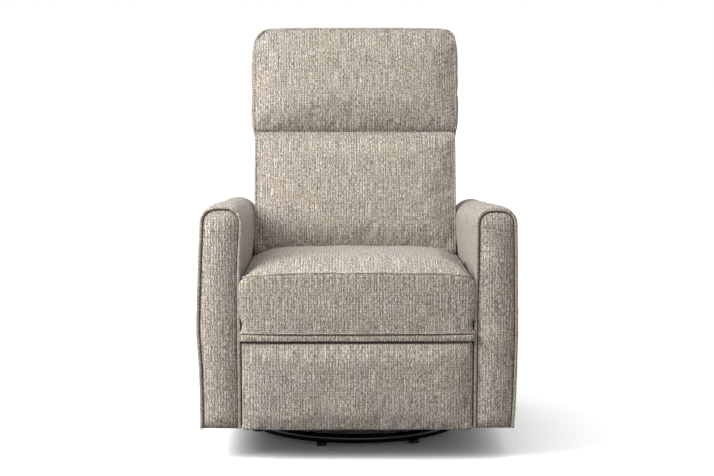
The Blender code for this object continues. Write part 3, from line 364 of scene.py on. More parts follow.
def paintedSeamShadow():
    material, tree, shader = newMaterial("paintedSeamShadow", {"Roughness": 0.7})
    place = addNode(tree, "ShaderNodeTexCoord")
    twist = addNoise(tree, place, seamShadowTube["twist"], 1.0)
    tone = addRamp(tree, twist.outputs["Fac"], seamShadowTube["shade"], seamShadowTube["colour"], 0.3, 0.7)
    tree.links.new(tone.outputs[0], shader.inputs["Base Color"])
    return material


cloth = wovenTweed("wovenTweed")
seamShadows = paintedSeamShadow()
pipingCloth = wovenTweed("wovenTweedPiping", turned=True, fine=0.8)
steel = powderCoatedSteel()
finishes = {
    "black_steel": steel, "zinc_steel": zincPlatedSteel(), "spring_steel": temperedWire(),
    "plywood": sandedPlywood(), "black_plastic": mouldedPolypropylene(), "upholstery": cloth,
}
for part in frame["record"]["subparts"]:
    piece = frame["nodes"][part["node"]]
    piece.data.materials.clear()
    piece.data.materials.append(finishes[part["material_slot"]])
print("materials ready")


def clamp(value, low=0.0, high=1.0):
    return max(low, min(high, value))


def ease(value, start, end):
    share = clamp((value - start) / (end - start))
    return share * share * (3 - 2 * share)


def bell(value, sharp):
    return max(0.0, 1.0 - abs(value) ** sharp)


def buildPiece(name, points, faces, material, matrix=None, turnOut=True):
    # turnOut makes all faces look outwards
    mesh = bpy.data.meshes.new(name)
    mesh.from_pydata([tuple(point) for point in points], [], faces)
    if turnOut:
        work = bmesh.new()
        work.from_mesh(mesh)
        bmesh.ops.recalc_face_normals(work, faces=work.faces)
        work.to_mesh(mesh)
        work.free()
    mesh.shade_smooth()
    mesh.materials.append(material)
    piece = bpy.data.objects.new(name, mesh)
    scene.collection.objects.link(piece)
    if matrix is not None:
        piece.matrix_world = matrix
    return piece


def skinRings(rings):
    # closed skin over rings of equal count, with both ends closed
    count = len(rings[0])
    faces = []
    for row in range(len(rings) - 1):
        for at in range(count):
            a, b = row * count + at, row * count + (at + 1) % count
            faces.append((a, b, b + count, a + count))
    faces.append(tuple(reversed(range(count))))
    faces.append(tuple(range((len(rings) - 1) * count, len(rings) * count)))
    return [point for ring in rings for point in ring], faces


def refine(piece):
    step = piece.modifiers.new("smooth", "SUBSURF")
    step.levels = step.render_levels = 1


def boxGrid(low, high, edge, spacing, skip=()):
    # a box of even cells with closer ones near its edges; skip names sides left open, as (axis, side)
    lines = []
    for axis in range(3):
        near, far = low[axis], high[axis]
        inside = max(2, round((far - near - 2 * edge) / spacing))
        close = max(2, round(edge / (spacing * 0.6)))
        marks = [near + edge * step / close for step in range(close)]
        marks += [near + edge + (far - near - 2 * edge) * step / inside for step in range(inside + 1)]
        marks += [far - edge * step / close for step in reversed(range(close))]
        lines.append(marks)
    last = [len(marks) - 1 for marks in lines]
    points, shares, index, faces = [], [], {}, []

    def corner(key):
        if key not in index:
            index[key] = len(points)
            place = Vector([lines[axis][key[axis]] for axis in range(3)])
            points.append(place)
            shares.append([2 * (at - near) / (far - near) - 1 for at, near, far in zip(place, low, high)])
        return index[key]

    for axis in range(3):
        first, second = [(1, 2), (2, 0), (0, 1)][axis]
        for side in (-1, 1):
            if (axis, side) in skip:
                continue
            for i in range(last[first]):
                for j in range(last[second]):
                    ring = []
                    for di, dj in ((0, 0), (1, 0), (1, 1), (0, 1)):
                        key = [0, 0, 0]
                        key[axis] = 0 if side < 0 else last[axis]
                        key[first], key[second] = i + di, j + dj
                        ring.append(corner(tuple(key)))
                    faces.append(tuple(ring if side > 0 else reversed(ring)))
    return {"points": points, "shares": shares, "index": index, "faces": faces, "last": last,
            "low": Vector(low), "high": Vector(high)}


def roundEdge(grid, first, second, radius, until=None):
    # draws one edge of a box grid in to a radius; an edge is where two sides meet, each as (axis, side).
    # with until, the rounding fades from that share of the depth and the edge is sharp at the rear
    (axisA, sideA), (axisB, sideB) = first, second
    endA = grid["high"][axisA] if sideA > 0 else grid["low"][axisA]
    endB = grid["high"][axisB] if sideB > 0 else grid["low"][axisB]
    for point, share in zip(grid["points"], grid["shares"]):
        across = sideA * (point[axisA] - endA) + radius
        up = sideB * (point[axisB] - endB) + radius
        if across > 0.0 and up > 0.0:
            keep = max(across, up) / math.hypot(across, up)
            drawn = 1.0 if until is None else 1.0 - ease(share[1], until, 0.95)
            point[axisA] += drawn * (endA + sideA * (across * keep - radius) - point[axisA])
            point[axisB] += drawn * (endB + sideB * (up * keep - radius) - point[axisB])


def ripple(point, size, amount, seed):
    return amount * noise.noise(Vector((point[0] / size + seed, point[1] / size, point[2] / size)))


def edgeLoop(grid, stops):
    # the grid keys on a walk along box edges; stops are box corners as (-1 or 1) triples
    keys = []
    for start, end in zip(stops, stops[1:]):
        axis = [a for a in range(3) if start[a] != end[a]][0]
        count = grid["last"][axis]
        walk = range(count + 1) if end[axis] > start[axis] else range(count, -1, -1)
        for step in walk:
            key = [0 if side < 0 else grid["last"][a] for a, side in enumerate(start)]
            key[axis] = step
            if not keys or keys[-1] != tuple(key):
                keys.append(tuple(key))
    return [grid["index"][key] for key in keys]


def heldPoints(grid, sides, loops, firm=()):
    # 1 where the cover is fixed, on whole sides, each as (axis, side), and along sewn loops;
    # less on firm sides
    held = [0.0] * len(grid["points"])
    for key, at in grid["index"].items():
        for share, group in ((0.75, firm), (1.0, sides)):
            if any(key[axis] == (0 if side < 0 else grid["last"][axis]) for axis, side in group):
                held[at] = share
    for loop in loops:
        for at in loop:
            held[at] = 1.0
    return held


def smoothPath(points, rounds):
    for _ in range(rounds):
        inner = [(a + b * 2 + c) / 4 for a, b, c in zip(points, points[1:], points[2:])]
        points = [points[0]] + inner + [points[-1]]
    return points


def evenPath(points, step):
    lengths = [0.0]
    for a, b in zip(points, points[1:]):
        lengths.append(lengths[-1] + (b - a).length)
    count = max(2, round(lengths[-1] / step))
    made, at = [], 0
    for index in range(count + 1):
        want = lengths[-1] * index / count
        while at < len(lengths) - 2 and lengths[at + 1] < want:
            at += 1
        share = (want - lengths[at]) / max(lengths[at + 1] - lengths[at], 1e-9)
        made.append(points[at].lerp(points[at + 1], clamp(share)))
    return made


piping = {
    "radius": 0.0030, "sides": 10, "step": 0.005, "wander": 0.0004, "uneven": 0.10,
    # size of the thin dark tubes that paint the seam shadow beside a welt
    "seamShadowTube": 0.0008, "seamShadowTubeSides": 5,
}


def tubeAlong(path, radius, sides, wander):
    points = evenPath([Vector(point) for point in path], piping["step"])
    normal = (points[1] - points[0]).normalized().orthogonal().normalized()
    rings = []
    for index, point in enumerate(points):
        ahead = (points[min(index + 1, len(points) - 1)] - points[max(index - 1, 0)]).normalized()
        normal = (normal - ahead * normal.dot(ahead)).normalized()
        other = ahead.cross(normal)
        thick = radius * (1 + piping["uneven"] * noise.noise(point * 170.0))
        shift = Vector((noise.noise(point * 31.0), noise.noise(point * 37.0), noise.noise(point * 41.0)))
        centre = point + shift * wander
        angles = [2 * math.pi * side / sides for side in range(sides)]
        rings.append([centre + (normal * math.cos(angle) + other * math.sin(angle)) * thick
                      for angle in angles])
    return skinRings(rings)


def sewPiping(name, path, matrix=None, radius=None, shadowPaths=()):
    # a corded welt along a path, a little uneven where its sewing pulls it in, and beside it the thin dark tubes
    # of painted seam shadow
    verts, faces = tubeAlong(path, radius or piping["radius"], piping["sides"], piping["wander"])
    welted = len(faces)
    for line in shadowPaths:
        more, rest = tubeAlong(line, piping["seamShadowTube"], piping["seamShadowTubeSides"], piping["wander"] / 2)
        faces += [tuple(at + len(verts) for at in face) for face in rest]
        verts += more
    piece = buildPiece(name, verts, faces, pipingCloth, matrix)
    piece.data.materials.append(seamShadows)
    for face in piece.data.polygons:
        face.material_index = 0 if face.index < welted else 1
    return piece


def gridPiece(name, grid, matrix=None):
    return buildPiece(name, grid["points"], grid["faces"], cloth, matrix, turnOut=False)


sewnCover = {
    "quality": 6, "mass": 0.25, "stretch": 24.0, "shear": 10.0, "bending": 1.5, "damping": 2.5, "steps": 20,
}


def plump(piece, held, pressure, cap, slack):
    # blows a sewn cover up against its held seams; a free point moves no further than the cap
    group = piece.vertex_groups.new(name="held")
    for index, weight in enumerate(held):
        group.add([index], weight, "REPLACE")
    blown = piece.modifiers.new("blown", "CLOTH")
    settings = blown.settings
    settings.quality = sewnCover["quality"]
    settings.mass = sewnCover["mass"]
    settings.tension_stiffness = settings.compression_stiffness = sewnCover["stretch"]
    settings.shear_stiffness = sewnCover["shear"]
    settings.bending_stiffness = sewnCover["bending"]
    settings.air_damping = sewnCover["damping"]
    settings.use_pressure = True
    settings.uniform_pressure_force = pressure
    settings.vertex_group_mass = "held"
    settings.shrink_min = -slack
    settings.effector_weights.gravity = 0.0
    blown.point_cache.frame_start, blown.point_cache.frame_end = 1, sewnCover["steps"]
    for step in range(1, sewnCover["steps"] + 1):
        scene.frame_set(step)
    shaped = piece.evaluated_get(bpy.context.evaluated_depsgraph_get())
    moves = [after.co - before.co for after, before in zip(shaped.data.vertices, piece.data.vertices)]
    for point, move, share in zip(piece.data.vertices, moves, held):
        point.co += move * min(1.0, cap * (1 - share) / max(move.length, 1e-9))
    piece.modifiers.remove(blown)
    piece.vertex_groups.clear()
    scene.frame_set(1)
    furthest = max(move.length for move in moves) / millimetre
    print("blown up:", piece.name, "would move up to", round(furthest, 1), "mm without the cap")


def finishPiece(piece, body, replaced=()):
    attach(piece, body)
    if replaced:
        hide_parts(*replaced)
    return piece


ring = {"segments": 144, "round": 20}


def buildRing():
    low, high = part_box("base_ring")
    tube = (high.z - low.z) / 2
    radius = high.x - tube
    middle = (high.z + low.z) / 2
    points, faces = [], []
    for step in range(ring["segments"]):
        turn = 2 * math.pi * step / ring["segments"]
        for side in range(ring["round"]):
            angle = 2 * math.pi * side / ring["round"]
            reach = radius + tube * math.cos(angle)
            points.append((reach * math.cos(turn), reach * math.sin(turn), middle + tube * math.sin(angle)))
    for step in range(ring["segments"]):
        for side in range(ring["round"]):
            a = step * ring["round"] + side
            b = step * ring["round"] + (side + 1) % ring["round"]
            c = ((step + 1) % ring["segments"]) * ring["round"]
            faces.append((a, b, c + (side + 1) % ring["round"], c + side))
    piece = buildPiece("baseRing", points, faces, steel)
    finishPiece(piece, "base", ["base_ring"])


buildRing()
print("base ready")

armLow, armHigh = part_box("arm_cover_right")
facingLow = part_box("arm_facing_right")[0]
seatLow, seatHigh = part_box("seat_cushion")
arm = {
    "bottom": armLow.z, "frontY": facingLow.y, "seamY": facingLow.y + 0.006, "rearY": armHigh.y,
    "rearDrop": 0.045, "dropFrom": 0.40, "faceCrown": 0.0125, "pillow": 0.005, "rearRound": 0.012,
    "stations": 46, "sidePoints": 30, "archPoints": 34, "bodyStart": 0.0035, "middleX": 0.33,
    "wave": 0.0022, "waveSize": 0.09, "faceWave": 0.0012, "faceWaveSize": 0.05,
    "frontMarks": (0.0, 0.002, 0.005, 0.010, 0.018),            # closer rings near both ends
    "rearMarks": (0.012, 0.007, 0.003, 0.0008, 0.0),
    "rim": ((0.0035, 0.009), (0.0030, 0.0075), (0.0012, 0.0078), (0.0004, 0.0090), (-0.0010, 0.0110)),
    "crownShares": (0.06, 0.14, 0.24, 0.36, 0.50, 0.66, 0.82, 0.97), "spineLow": 0.045, "spineTop": 0.052,
    # the second inset places the dark line of painted seam shadow inside the front welt
    "welt": 0.0040, "weltInset": 0.0030, "seamShadowInset": 0.0082, "rearWeltInset": 0.0078,
    # distances from the middle at heights, as sewn: the two arms lean and bow a little differently
    "Left": {"top": 0.6235, "arch": (0.048, 0.80, 0.74),
             "inner": ((0.08, 0.2822), (0.30, 0.2824), (0.46, 0.2824), (0.53, 0.2790), (0.58, 0.2757),
                       (0.64, 0.2752)),
             "outer": ((0.08, 0.3802), (0.16, 0.3806), (0.22, 0.3815), (0.275, 0.3848), (0.326, 0.3875),
                       (0.39, 0.3858), (0.45, 0.3834), (0.51, 0.3808), (0.588, 0.3766), (0.64, 0.3762))},
    "Right": {"top": 0.6180, "arch": (0.044, 0.80, 0.74),
              "inner": ((0.08, 0.2822), (0.30, 0.2824), (0.40, 0.2828), (0.47, 0.2850), (0.60, 0.2855),
                        (0.64, 0.2855)),
              "outer": ((0.08, 0.3795), (0.14, 0.3832), (0.24, 0.3862), (0.326, 0.3875), (0.45, 0.3856),
                        (0.52, 0.3846), (0.588, 0.3830), (0.64, 0.3828))},
    "rear": {"arch": (0.052, 1.0, 1.0),
             "inner": ((0.08, 0.2822), (0.38, 0.2820), (0.44, 0.2785), (0.50, 0.2735), (0.56, 0.2735),
                       (0.64, 0.2745)),
             "outer": ((0.08, 0.3805), (0.24, 0.3820), (0.33, 0.3840), (0.45, 0.3815), (0.56, 0.3775),
                       (0.64, 0.3765))},
}


def readCurve(table, at):
    # smooth reading of a short table of pairs
    if at <= table[0][0]:
        return table[0][1]
    for index in range(len(table) - 1):
        (x0, y0), (x1, y1) = table[index], table[index + 1]
        if at <= x1:
            before, after = table[max(index - 1, 0)], table[min(index + 2, len(table) - 1)]
            in0 = (y1 - before[1]) / (x1 - before[0]) * (x1 - x0)
            in1 = (after[1] - y0) / (after[0] - x0) * (x1 - x0)
            t = (at - x0) / (x1 - x0)
            return ((2 * t ** 3 - 3 * t * t + 1) * y0 + (t ** 3 - 2 * t * t + t) * in0
                    + (3 * t * t - 2 * t ** 3) * y1 + (t ** 3 - t * t) * in1)
    return table[-1][1]


def armSection(shape, top):
    # outline of an arm seen from the front: up the inner side, over the arch and down the outer side
    rise, square, full = shape["arch"]
    shoulder = top - rise
    count = arm["sidePoints"]
    heights = [arm["bottom"] + (shoulder - arm["bottom"]) * step / count for step in range(count)]
    points = [Vector((readCurve(shape["inner"], z), 0.0, z)) for z in heights]
    left, right = readCurve(shape["inner"], shoulder), readCurve(shape["outer"], shoulder)
    middle, half = (left + right) / 2, (right - left) / 2
    for step in range(arm["archPoints"] + 1):
        angle = math.pi * (1 - step / arm["archPoints"])
        x = math.copysign(abs(math.cos(angle)) ** square, math.cos(angle))
        z = max(0.0, math.sin(angle)) ** full
        points.append(Vector((middle + half * x, 0.0, shoulder + rise * z)))
    points += [Vector((readCurve(shape["outer"], z), 0.0, z)) for z in reversed(heights)]
    return points


def insetSection(points, amount):
    # every point moves in at right angles to the outline; the two bottom corners move along both sides
    made = []
    for index, point in enumerate(points):
        before, after = points[index - 1], points[(index + 1) % len(points)]
        sides = [(point - before).normalized(), (after - point).normalized()]
        inward = Vector((0.0, 0.0, 0.0))
        for side in sides:
            inward += Vector((side.z, 0.0, -side.x))
        size = inward.length_squared / 2
        made.append(point + inward * (amount / max(size, 0.3)))
    return made


def buildArm(side, sign):
    front = armSection(arm[side], arm[side]["top"])
    rear = armSection(arm["rear"], arm[side]["top"])
    start, end = arm["seamY"] + arm["bodyStart"], arm["rearY"]
    length = end - start
    near, far = arm["frontMarks"][-1], arm["rearMarks"][0]
    even = (length - (near + far)) / arm["stations"]
    marks = [start + mark for mark in arm["frontMarks"]]
    marks += [start + near + even * step for step in range(1, arm["stations"])]
    marks += [end - mark for mark in arm["rearMarks"]]

    def place(outline, y, inset, wavy=True):
        along = (y - arm["frontY"]) / (end - arm["frontY"])
        puffed = arm["pillow"] * ease(along, 0.0, 0.07) * (1 - ease(along, 0.2, 0.9))
        ring = []
        for point in insetSection(outline, inset):
            over = ease(point.z, arm["dropFrom"], arm[side]["top"])
            wave = 0.0
            if wavy:
                wave = ripple((point.x, y, point.z), arm["waveSize"], arm["wave"], 3.0 * sign)
                wave *= ease(point.z, 0.09, 0.16)
            outward = 1 if point.x > arm["middleX"] else -1
            height = point.z - arm["rearDrop"] * along * over + puffed * over ** 3 + wave * over
            ring.append(Vector((sign * (point.x + outward * wave * 0.6), y, height)))
        return ring

    rings = []
    for y in marks:
        opened = ease(y, start + 0.004, start + length * 0.55)
        outline = [a.lerp(b, opened) for a, b in zip(front, rear)]
        inset = 0.004 * (1 - ease(y, start - 0.001, start + 0.012))
        radius = arm["rearRound"]
        if end - y < radius:
            inset = radius - math.sqrt(max(0.0, radius ** 2 - (radius - end + y) ** 2))
        rings.append(place(outline, y, inset, wavy=y > start + 0.01))
    points, faces = skinRings(rings)
    body = buildPiece("armBody" + side, points, faces, cloth)
    finishPiece(body, "carriage", ["arm_cover_" + side.lower()])

    # front facing: a padded panel, sunk along its piping and crowned inside it
    seam = arm["seamY"]
    rings = [[point + Vector((0.0, seam + rise, 0.0)) for point in insetSection(front, inset)]
             for rise, inset in arm["rim"]]
    rimRise, rimInset = arm["rim"][-1]
    rim = insetSection(front, rimInset)
    spineLow, spineHigh = arm["bottom"] + arm["spineLow"], arm[side]["top"] - arm["spineTop"]
    spine = []
    for point in rim:
        middle = (readCurve(arm[side]["inner"], point.z) + readCurve(arm[side]["outer"], point.z)) / 2
        spine.append(Vector((middle, 0.0, clamp(point.z, spineLow, spineHigh))))
    for share in arm["crownShares"]:
        rise = seam + rimRise - arm["faceCrown"] * (1 - (1 - share) ** 2.3)
        ring = []
        for a, b in zip(rim, spine):
            wave = ripple(a, arm["faceWaveSize"], arm["faceWave"], 9.0 * sign) * share
            ring.append(a.lerp(b, share) + Vector((0.0, rise + wave, 0.0)))
        rings.append(ring)
    rings = [[Vector((sign * point.x, point.y, point.z)) for point in ring] for ring in rings]
    points, faces = skinRings(rings)
    facing = buildPiece("armFacing" + side, points, faces, cloth)
    finishPiece(facing, "carriage", ["arm_facing_" + side.lower()])

    # the welt's path, and a path just inside it for the dark line of painted seam shadow
    path, line = [
        smoothPath([Vector((sign * point.x, y, point.z)) for point in insetSection(front, inset)], 1)
        for y, inset in ((seam, arm["weltInset"]), (seam - 0.0004, arm["seamShadowInset"]))
    ]
    welt = sewPiping("armPipingFront" + side, path, radius=arm["welt"], shadowPaths=[line])
    finishPiece(welt, "carriage")
    path = smoothPath(place(rear, end - 0.0012, arm["rearWeltInset"], wavy=False), 1)
    finishPiece(sewPiping("armPipingRear" + side, path), "carriage")


for side, sign in (("Left", -1), ("Right", 1)):
    buildArm(side, sign)
print("arms ready")

seat = {
    "low": (-0.2785, -0.4410, seatLow.z), "high": (0.2785, seatHigh.y + 0.040, 0.4625),
    "fullness": 0.013, "crown": 0.009, "sideSag": 0.009, "borderBulge": 0.010,
    "crest": -0.35, "frontRise": 0.0055, "rearFall": 0.010, "sideBulge": 0.0105,
    "topEdge": 0.010, "sideEdge": 0.026, "rearEdge": 0.012, "lowEdge": 0.006,
    "cornerRadius": 0.018, "rearCorner": 0.020, "tuck": 0.008, "flareFrom": 0.4230, "flareTo": 0.4340,
    "blend": 0.03, "wave": 0.0022, "waveSize": 0.11, "cell": 0.0080, "edge": 0.034,
    "pressure": 3.5, "cap": 0.010, "slack": 0.012,
}


def buildSeatCushion():
    grid = boxGrid(seat["low"], seat["high"], seat["edge"], seat["cell"])
    for x in (-1, 1):
        roundEdge(grid, (0, x), (1, -1), seat["cornerRadius"])
        roundEdge(grid, (0, x), (1, 1), seat["rearCorner"])
        roundEdge(grid, (0, x), (2, 1), seat["sideEdge"])
        roundEdge(grid, (0, x), (2, -1), seat["lowEdge"])
    roundEdge(grid, (1, -1), (2, 1), seat["topEdge"])
    roundEdge(grid, (1, 1), (2, 1), seat["rearEdge"])
    roundEdge(grid, (1, -1), (2, -1), seat["lowEdge"])
    low, high = grid["low"], grid["high"]
    for point, (a, b, c) in zip(grid["points"], grid["shares"]):
        top = ease(point.z, high.z - seat["topEdge"], high.z)
        upper = ease(point.z, low.z + seat["blend"], high.z)
        border = ease(-point.y, -low.y - seat["blend"], -low.y)
        past = (b - seat["crest"]) / ((1 - seat["crest"]) if b > seat["crest"] else (1 + seat["crest"]))
        depth = bell(past, 2.0 if past > 0 else 5.0)
        rise = (seat["fullness"] * bell(a, 12.0) + seat["crown"] * bell(a, 2.0)) * depth * top
        rise += (seat["frontRise"] * (1 - b) / 2 - seat["rearFall"] * (1 + b) / 2) * upper
        sag = -seat["sideSag"] * abs(a) ** 3.2 * upper
        front = -seat["borderBulge"] * bell(a, 5.0) * (0.85 + 0.15 * bell(c, 2.0)) * border
        forward = ease(-point.y, seat["flareFrom"], seat["flareTo"])
        wide = seat["sideBulge"] * forward * bell(c * 0.9 - 0.1, 3.0) * abs(a) ** 9
        tuckIn = -seat["tuck"] * forward * ease(-c, 0.1, 1.0) * abs(a) ** 9
        wave = ripple(point, seat["waveSize"], seat["wave"], 1.7)
        wave *= ease(point.z, low.z + 0.01, low.z + 0.05)
        point.x += math.copysign(wide + tuckIn, a) if a else 0.0
        point.y += front + wave * 0.5 * (1.0 if b < -0.9 else 0.0)
        point.z += rise + sag + wave * top
    piece = gridPiece("seatCushion", grid)
    top = edgeLoop(grid, [(-1, 1, 1), (-1, -1, 1), (1, -1, 1), (1, 1, 1)])
    bottom = edgeLoop(grid, [(-1, 1, -1), (-1, -1, -1), (1, -1, -1), (1, 1, -1)])
    held = heldPoints(grid, [(2, -1), (1, 1)], [top], firm=[(1, -1), (0, -1), (0, 1)])
    plump(piece, held, seat["pressure"], seat["cap"], seat["slack"])
    refine(piece)
    finishPiece(piece, "carriage", ["seat_cushion"])
    # each welt gets a dark line of painted seam shadow just below it
    for name, loop, lift, drop in (("Top", top, 0.0, 0.0036), ("Bottom", bottom, 0.003, 0.0034)):
        path = smoothPath([grid["points"][at] + Vector((0.0, 0.0, lift)) for at in loop], 3)
        line = [point + Vector((0.0, -0.0005, -drop)) for point in path]
        finishPiece(sewPiping("seatPiping" + name, path, shadowPaths=[line]), "carriage")


buildSeatCushion()

rail = {
    "wrap": 0.0016, "round": 0.004, "cornerSteps": 4, "cells": 40, "lipZ": 0.300, "webDepth": 0.015,
    "past": 0.0003, "above": 0.0004, "swell": 0.001, "lip": 0.002,
}


def softCorners(outline, radius, steps):
    # replaces each corner of a closed outline by a short curve
    made = []
    for index, corner in enumerate(outline):
        start, end = [corner + (other - corner).normalized() * min(radius, (other - corner).length * 0.45)
                      for other in (outline[index - 1], outline[(index + 1) % len(outline)])]
        for step in range(steps + 1):
            share = step / steps
            made.append(start.lerp(corner, share).lerp(corner.lerp(end, share), share))
    return made


def buildRailCover():
    low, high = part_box("seat_rail_front")
    lipZ, webY, topZ = rail["lipZ"], high.y - rail["webDepth"], high.z + rail["above"]
    out = rail["wrap"]
    half = high.x + rail["past"]
    outline = [
        (low.y - out, topZ), (low.y - out - rail["swell"], (high.z + lipZ) / 2),
        (low.y - out, lipZ - out * 0.6), (low.y + rail["lip"], lipZ - out), (webY - out, lipZ - out),
        (webY - out, low.z - out), (high.y + out, low.z - out), (high.y + out, topZ),
    ]
    section = softCorners([Vector(spot) for spot in outline], rail["round"], rail["cornerSteps"])
    rings = []
    for step in range(rail["cells"] + 1):
        x = -half + 2 * half * step / rail["cells"]
        ring = []
        for y, z in section:
            sink = ripple((x, y, z), 0.08, 0.0009, 5.0) if z < high.z - 0.001 else 0.0
            ring.append(Vector((x, y + sink, z + sink * 0.5)))
        rings.append(ring)
    points, faces = skinRings(rings)
    finishPiece(buildPiece("frontRailCover", points, faces, cloth), "carriage")


buildRailCover()
print("seat ready")

pivot = Vector(next(joint["pos_m"] for joint in frame["joints"] if joint["name"] == "recline"))
# the last entry of each pad places the dark lines of painted seam shadow beside its welt, as (in, forward)
back = {
    "lean": 17.0,
    "head": {"low": (-0.2795, -0.0870, 0.4325), "high": (0.2795, -0.0113, 0.7225), "corner": 0.045,
             "leftCornerFactor": 1.3, "notch": 0.020, "crown": 0.023, "creaseRise": 0.045,
             "creaseDepth": 0.026, "bulge": 0.0020, "topCrown": 0.004, "wave": 0.0024, "waveSize": 0.10,
             "seamShadows": ((0.0036, -0.0014), (-0.0024, 0.0028))},
    "lumbar": {"low": (-0.2735, -0.0980, 0.092), "high": (0.2735, -0.0113, 0.4315), "corner": 0.016,
               "crown": 0.026, "creaseRise": 0.026, "creaseDepth": 0.016, "bulge": 0.0010, "fall": 0.018,
               "footRise": 0.020, "footDepth": 0.012, "wave": 0.0024, "waveSize": 0.12,
               "seamShadows": ((0.0036, -0.0012), (-0.0024, 0.0028))},
    "cell": 0.0080, "edge": 0.034, "faceEdge": 0.012, "fadeFrom": -0.2, "faceFrom": 0.004, "faceTo": 0.03,
    "pressure": 3.5, "cap": 0.010, "slack": 0.012,
}
tilt = Euler((-math.radians(back["lean"]), 0.0, 0.0))
backFrame = Matrix.Translation(pivot) @ tilt.to_matrix().to_4x4()       # Z runs up along the back


def creaseInset(distance, rise, depth):
    # how far a pad's face turns in at a distance from the crease
    share = clamp(1 - distance / rise)
    return depth * (1 - math.sqrt(max(0.0, 1 - share * share)))


def buildHeadPad():
    pad = back["head"]
    grid = boxGrid(pad["low"], pad["high"], back["edge"], back["cell"])
    for x in (-1, 1):
        roundEdge(grid, (0, x), (2, 1), pad["corner"] * (pad["leftCornerFactor"] if x < 0 else 1.0))
        roundEdge(grid, (0, x), (2, -1), pad["notch"], until=back["fadeFrom"])
        roundEdge(grid, (0, x), (1, -1), back["faceEdge"])
    roundEdge(grid, (1, -1), (2, 1), back["faceEdge"])
    low, high = grid["low"], grid["high"]
    for point, (a, b, c) in zip(grid["points"], grid["shares"]):
        face = 1 - ease(point.y, low.y + back["faceFrom"], low.y + back["faceTo"])
        forward = clamp(-b * 0.5 + 0.5)
        lift = pad["crown"] * bell(a, 4.0) * bell(c, 3.5) * face
        sink = creaseInset(point.z - low.z, pad["creaseRise"], pad["creaseDepth"]) * forward
        wave = ripple(point, pad["waveSize"], pad["wave"], 6.1) * bell(a, 6.0) * bell(c, 6.0)
        side = pad["bulge"] * bell(b, 2.0) * abs(a) ** 12 * bell(c, 6.0)
        point.y += -lift + sink + wave * face
        point.x += math.copysign(side, a) if a else 0.0
        point.z += pad["topCrown"] * bell(a, 4.0) * ease(c, 0.4, 1.0)
    piece = gridPiece("headPad", grid, backFrame)
    rim = edgeLoop(grid, [(-1, -1, -1), (-1, -1, 1), (1, -1, 1), (1, -1, -1)])
    held = heldPoints(grid, [(1, 1), (2, -1)], [rim])
    plump(piece, held, back["pressure"], back["cap"], back["slack"])
    refine(piece)
    finishPiece(piece, "back", ["head_pad"])
    path = smoothPath([grid["points"][at] for at in rim[1:-1]], 3)
    centre = Vector((0.0, 0.0, (pad["low"][2] + pad["high"][2]) / 2))
    # dark lines of painted seam shadow, one inside the welt and one outside it at the edge
    lines = [[point + (centre - point).normalized() * inward + Vector((0.0, rise, 0.0)) for point in path]
             for inward, rise in pad["seamShadows"]]
    finishPiece(sewPiping("headPiping", path, backFrame, shadowPaths=lines), "back")


def buildLumbarPad():
    pad = back["lumbar"]
    grid = boxGrid(pad["low"], pad["high"], back["edge"], back["cell"])
    for x in (-1, 1):
        roundEdge(grid, (0, x), (2, 1), pad["corner"], until=back["fadeFrom"])
        roundEdge(grid, (0, x), (1, -1), back["faceEdge"])
    low, high = grid["low"], grid["high"]
    for point, (a, b, c) in zip(grid["points"], grid["shares"]):
        face = 1 - ease(point.y, low.y + back["faceFrom"], low.y + back["faceTo"])
        forward = clamp(-b * 0.5 + 0.5)
        lift = pad["crown"] * bell(a, 3.0) * bell(c, 2.8) * face
        sink = creaseInset(high.z - point.z, pad["creaseRise"], pad["creaseDepth"]) * forward
        sink += creaseInset(point.z - low.z, pad["footRise"], pad["footDepth"]) * forward
        sink += pad["fall"] * ((1 - c) / 2) ** 1.2 * forward
        wave = ripple(point, pad["waveSize"], pad["wave"], 2.3) * bell(a, 6.0) * bell(c, 6.0)
        side = pad["bulge"] * bell(b, 2.0) * abs(a) ** 12 * bell(c, 6.0)
        point.y += -lift + sink + wave * face
        point.x += math.copysign(side, a) if a else 0.0
    piece = gridPiece("lumbarPad", grid, backFrame)
    rims = {side: edgeLoop(grid, [(x, -1, -1), (x, -1, 1)]) for side, x in (("Left", -1), ("Right", 1))}
    held = heldPoints(grid, [(1, 1), (2, 1), (2, -1)], rims.values(), firm=[(0, -1), (0, 1)])
    plump(piece, held, back["pressure"], back["cap"], back["slack"])
    refine(piece)
    finishPiece(piece, "back", ["lumbar_pad"])
    for side, rim in rims.items():
        path = smoothPath([grid["points"][at] for at in rim], 3)
        way = 1 if side == "Left" else -1
        # dark lines of painted seam shadow, one each side of the welt
        lines = [[point + Vector((way * inward, rise, 0.0)) for point in path]
                 for inward, rise in pad["seamShadows"]]
        finishPiece(sewPiping("lumbarPiping" + side, path, backFrame, shadowPaths=lines), "back")


buildHeadPad()
buildLumbarPad()

cover = {
    "low": (-0.277, -0.0105, -0.060), "high": (0.277, 0.0955, 0.719), "lowHalf": 0.263,
    "widenFrom": 0.300, "widenTo": 0.430, "corner": 0.045, "rearEdge": 0.012, "crown": 0.005,
    "wave": 0.002, "waveSize": 0.16, "blend": 0.03, "cell": 0.014, "edge": 0.045, "thick": 0.004,
}


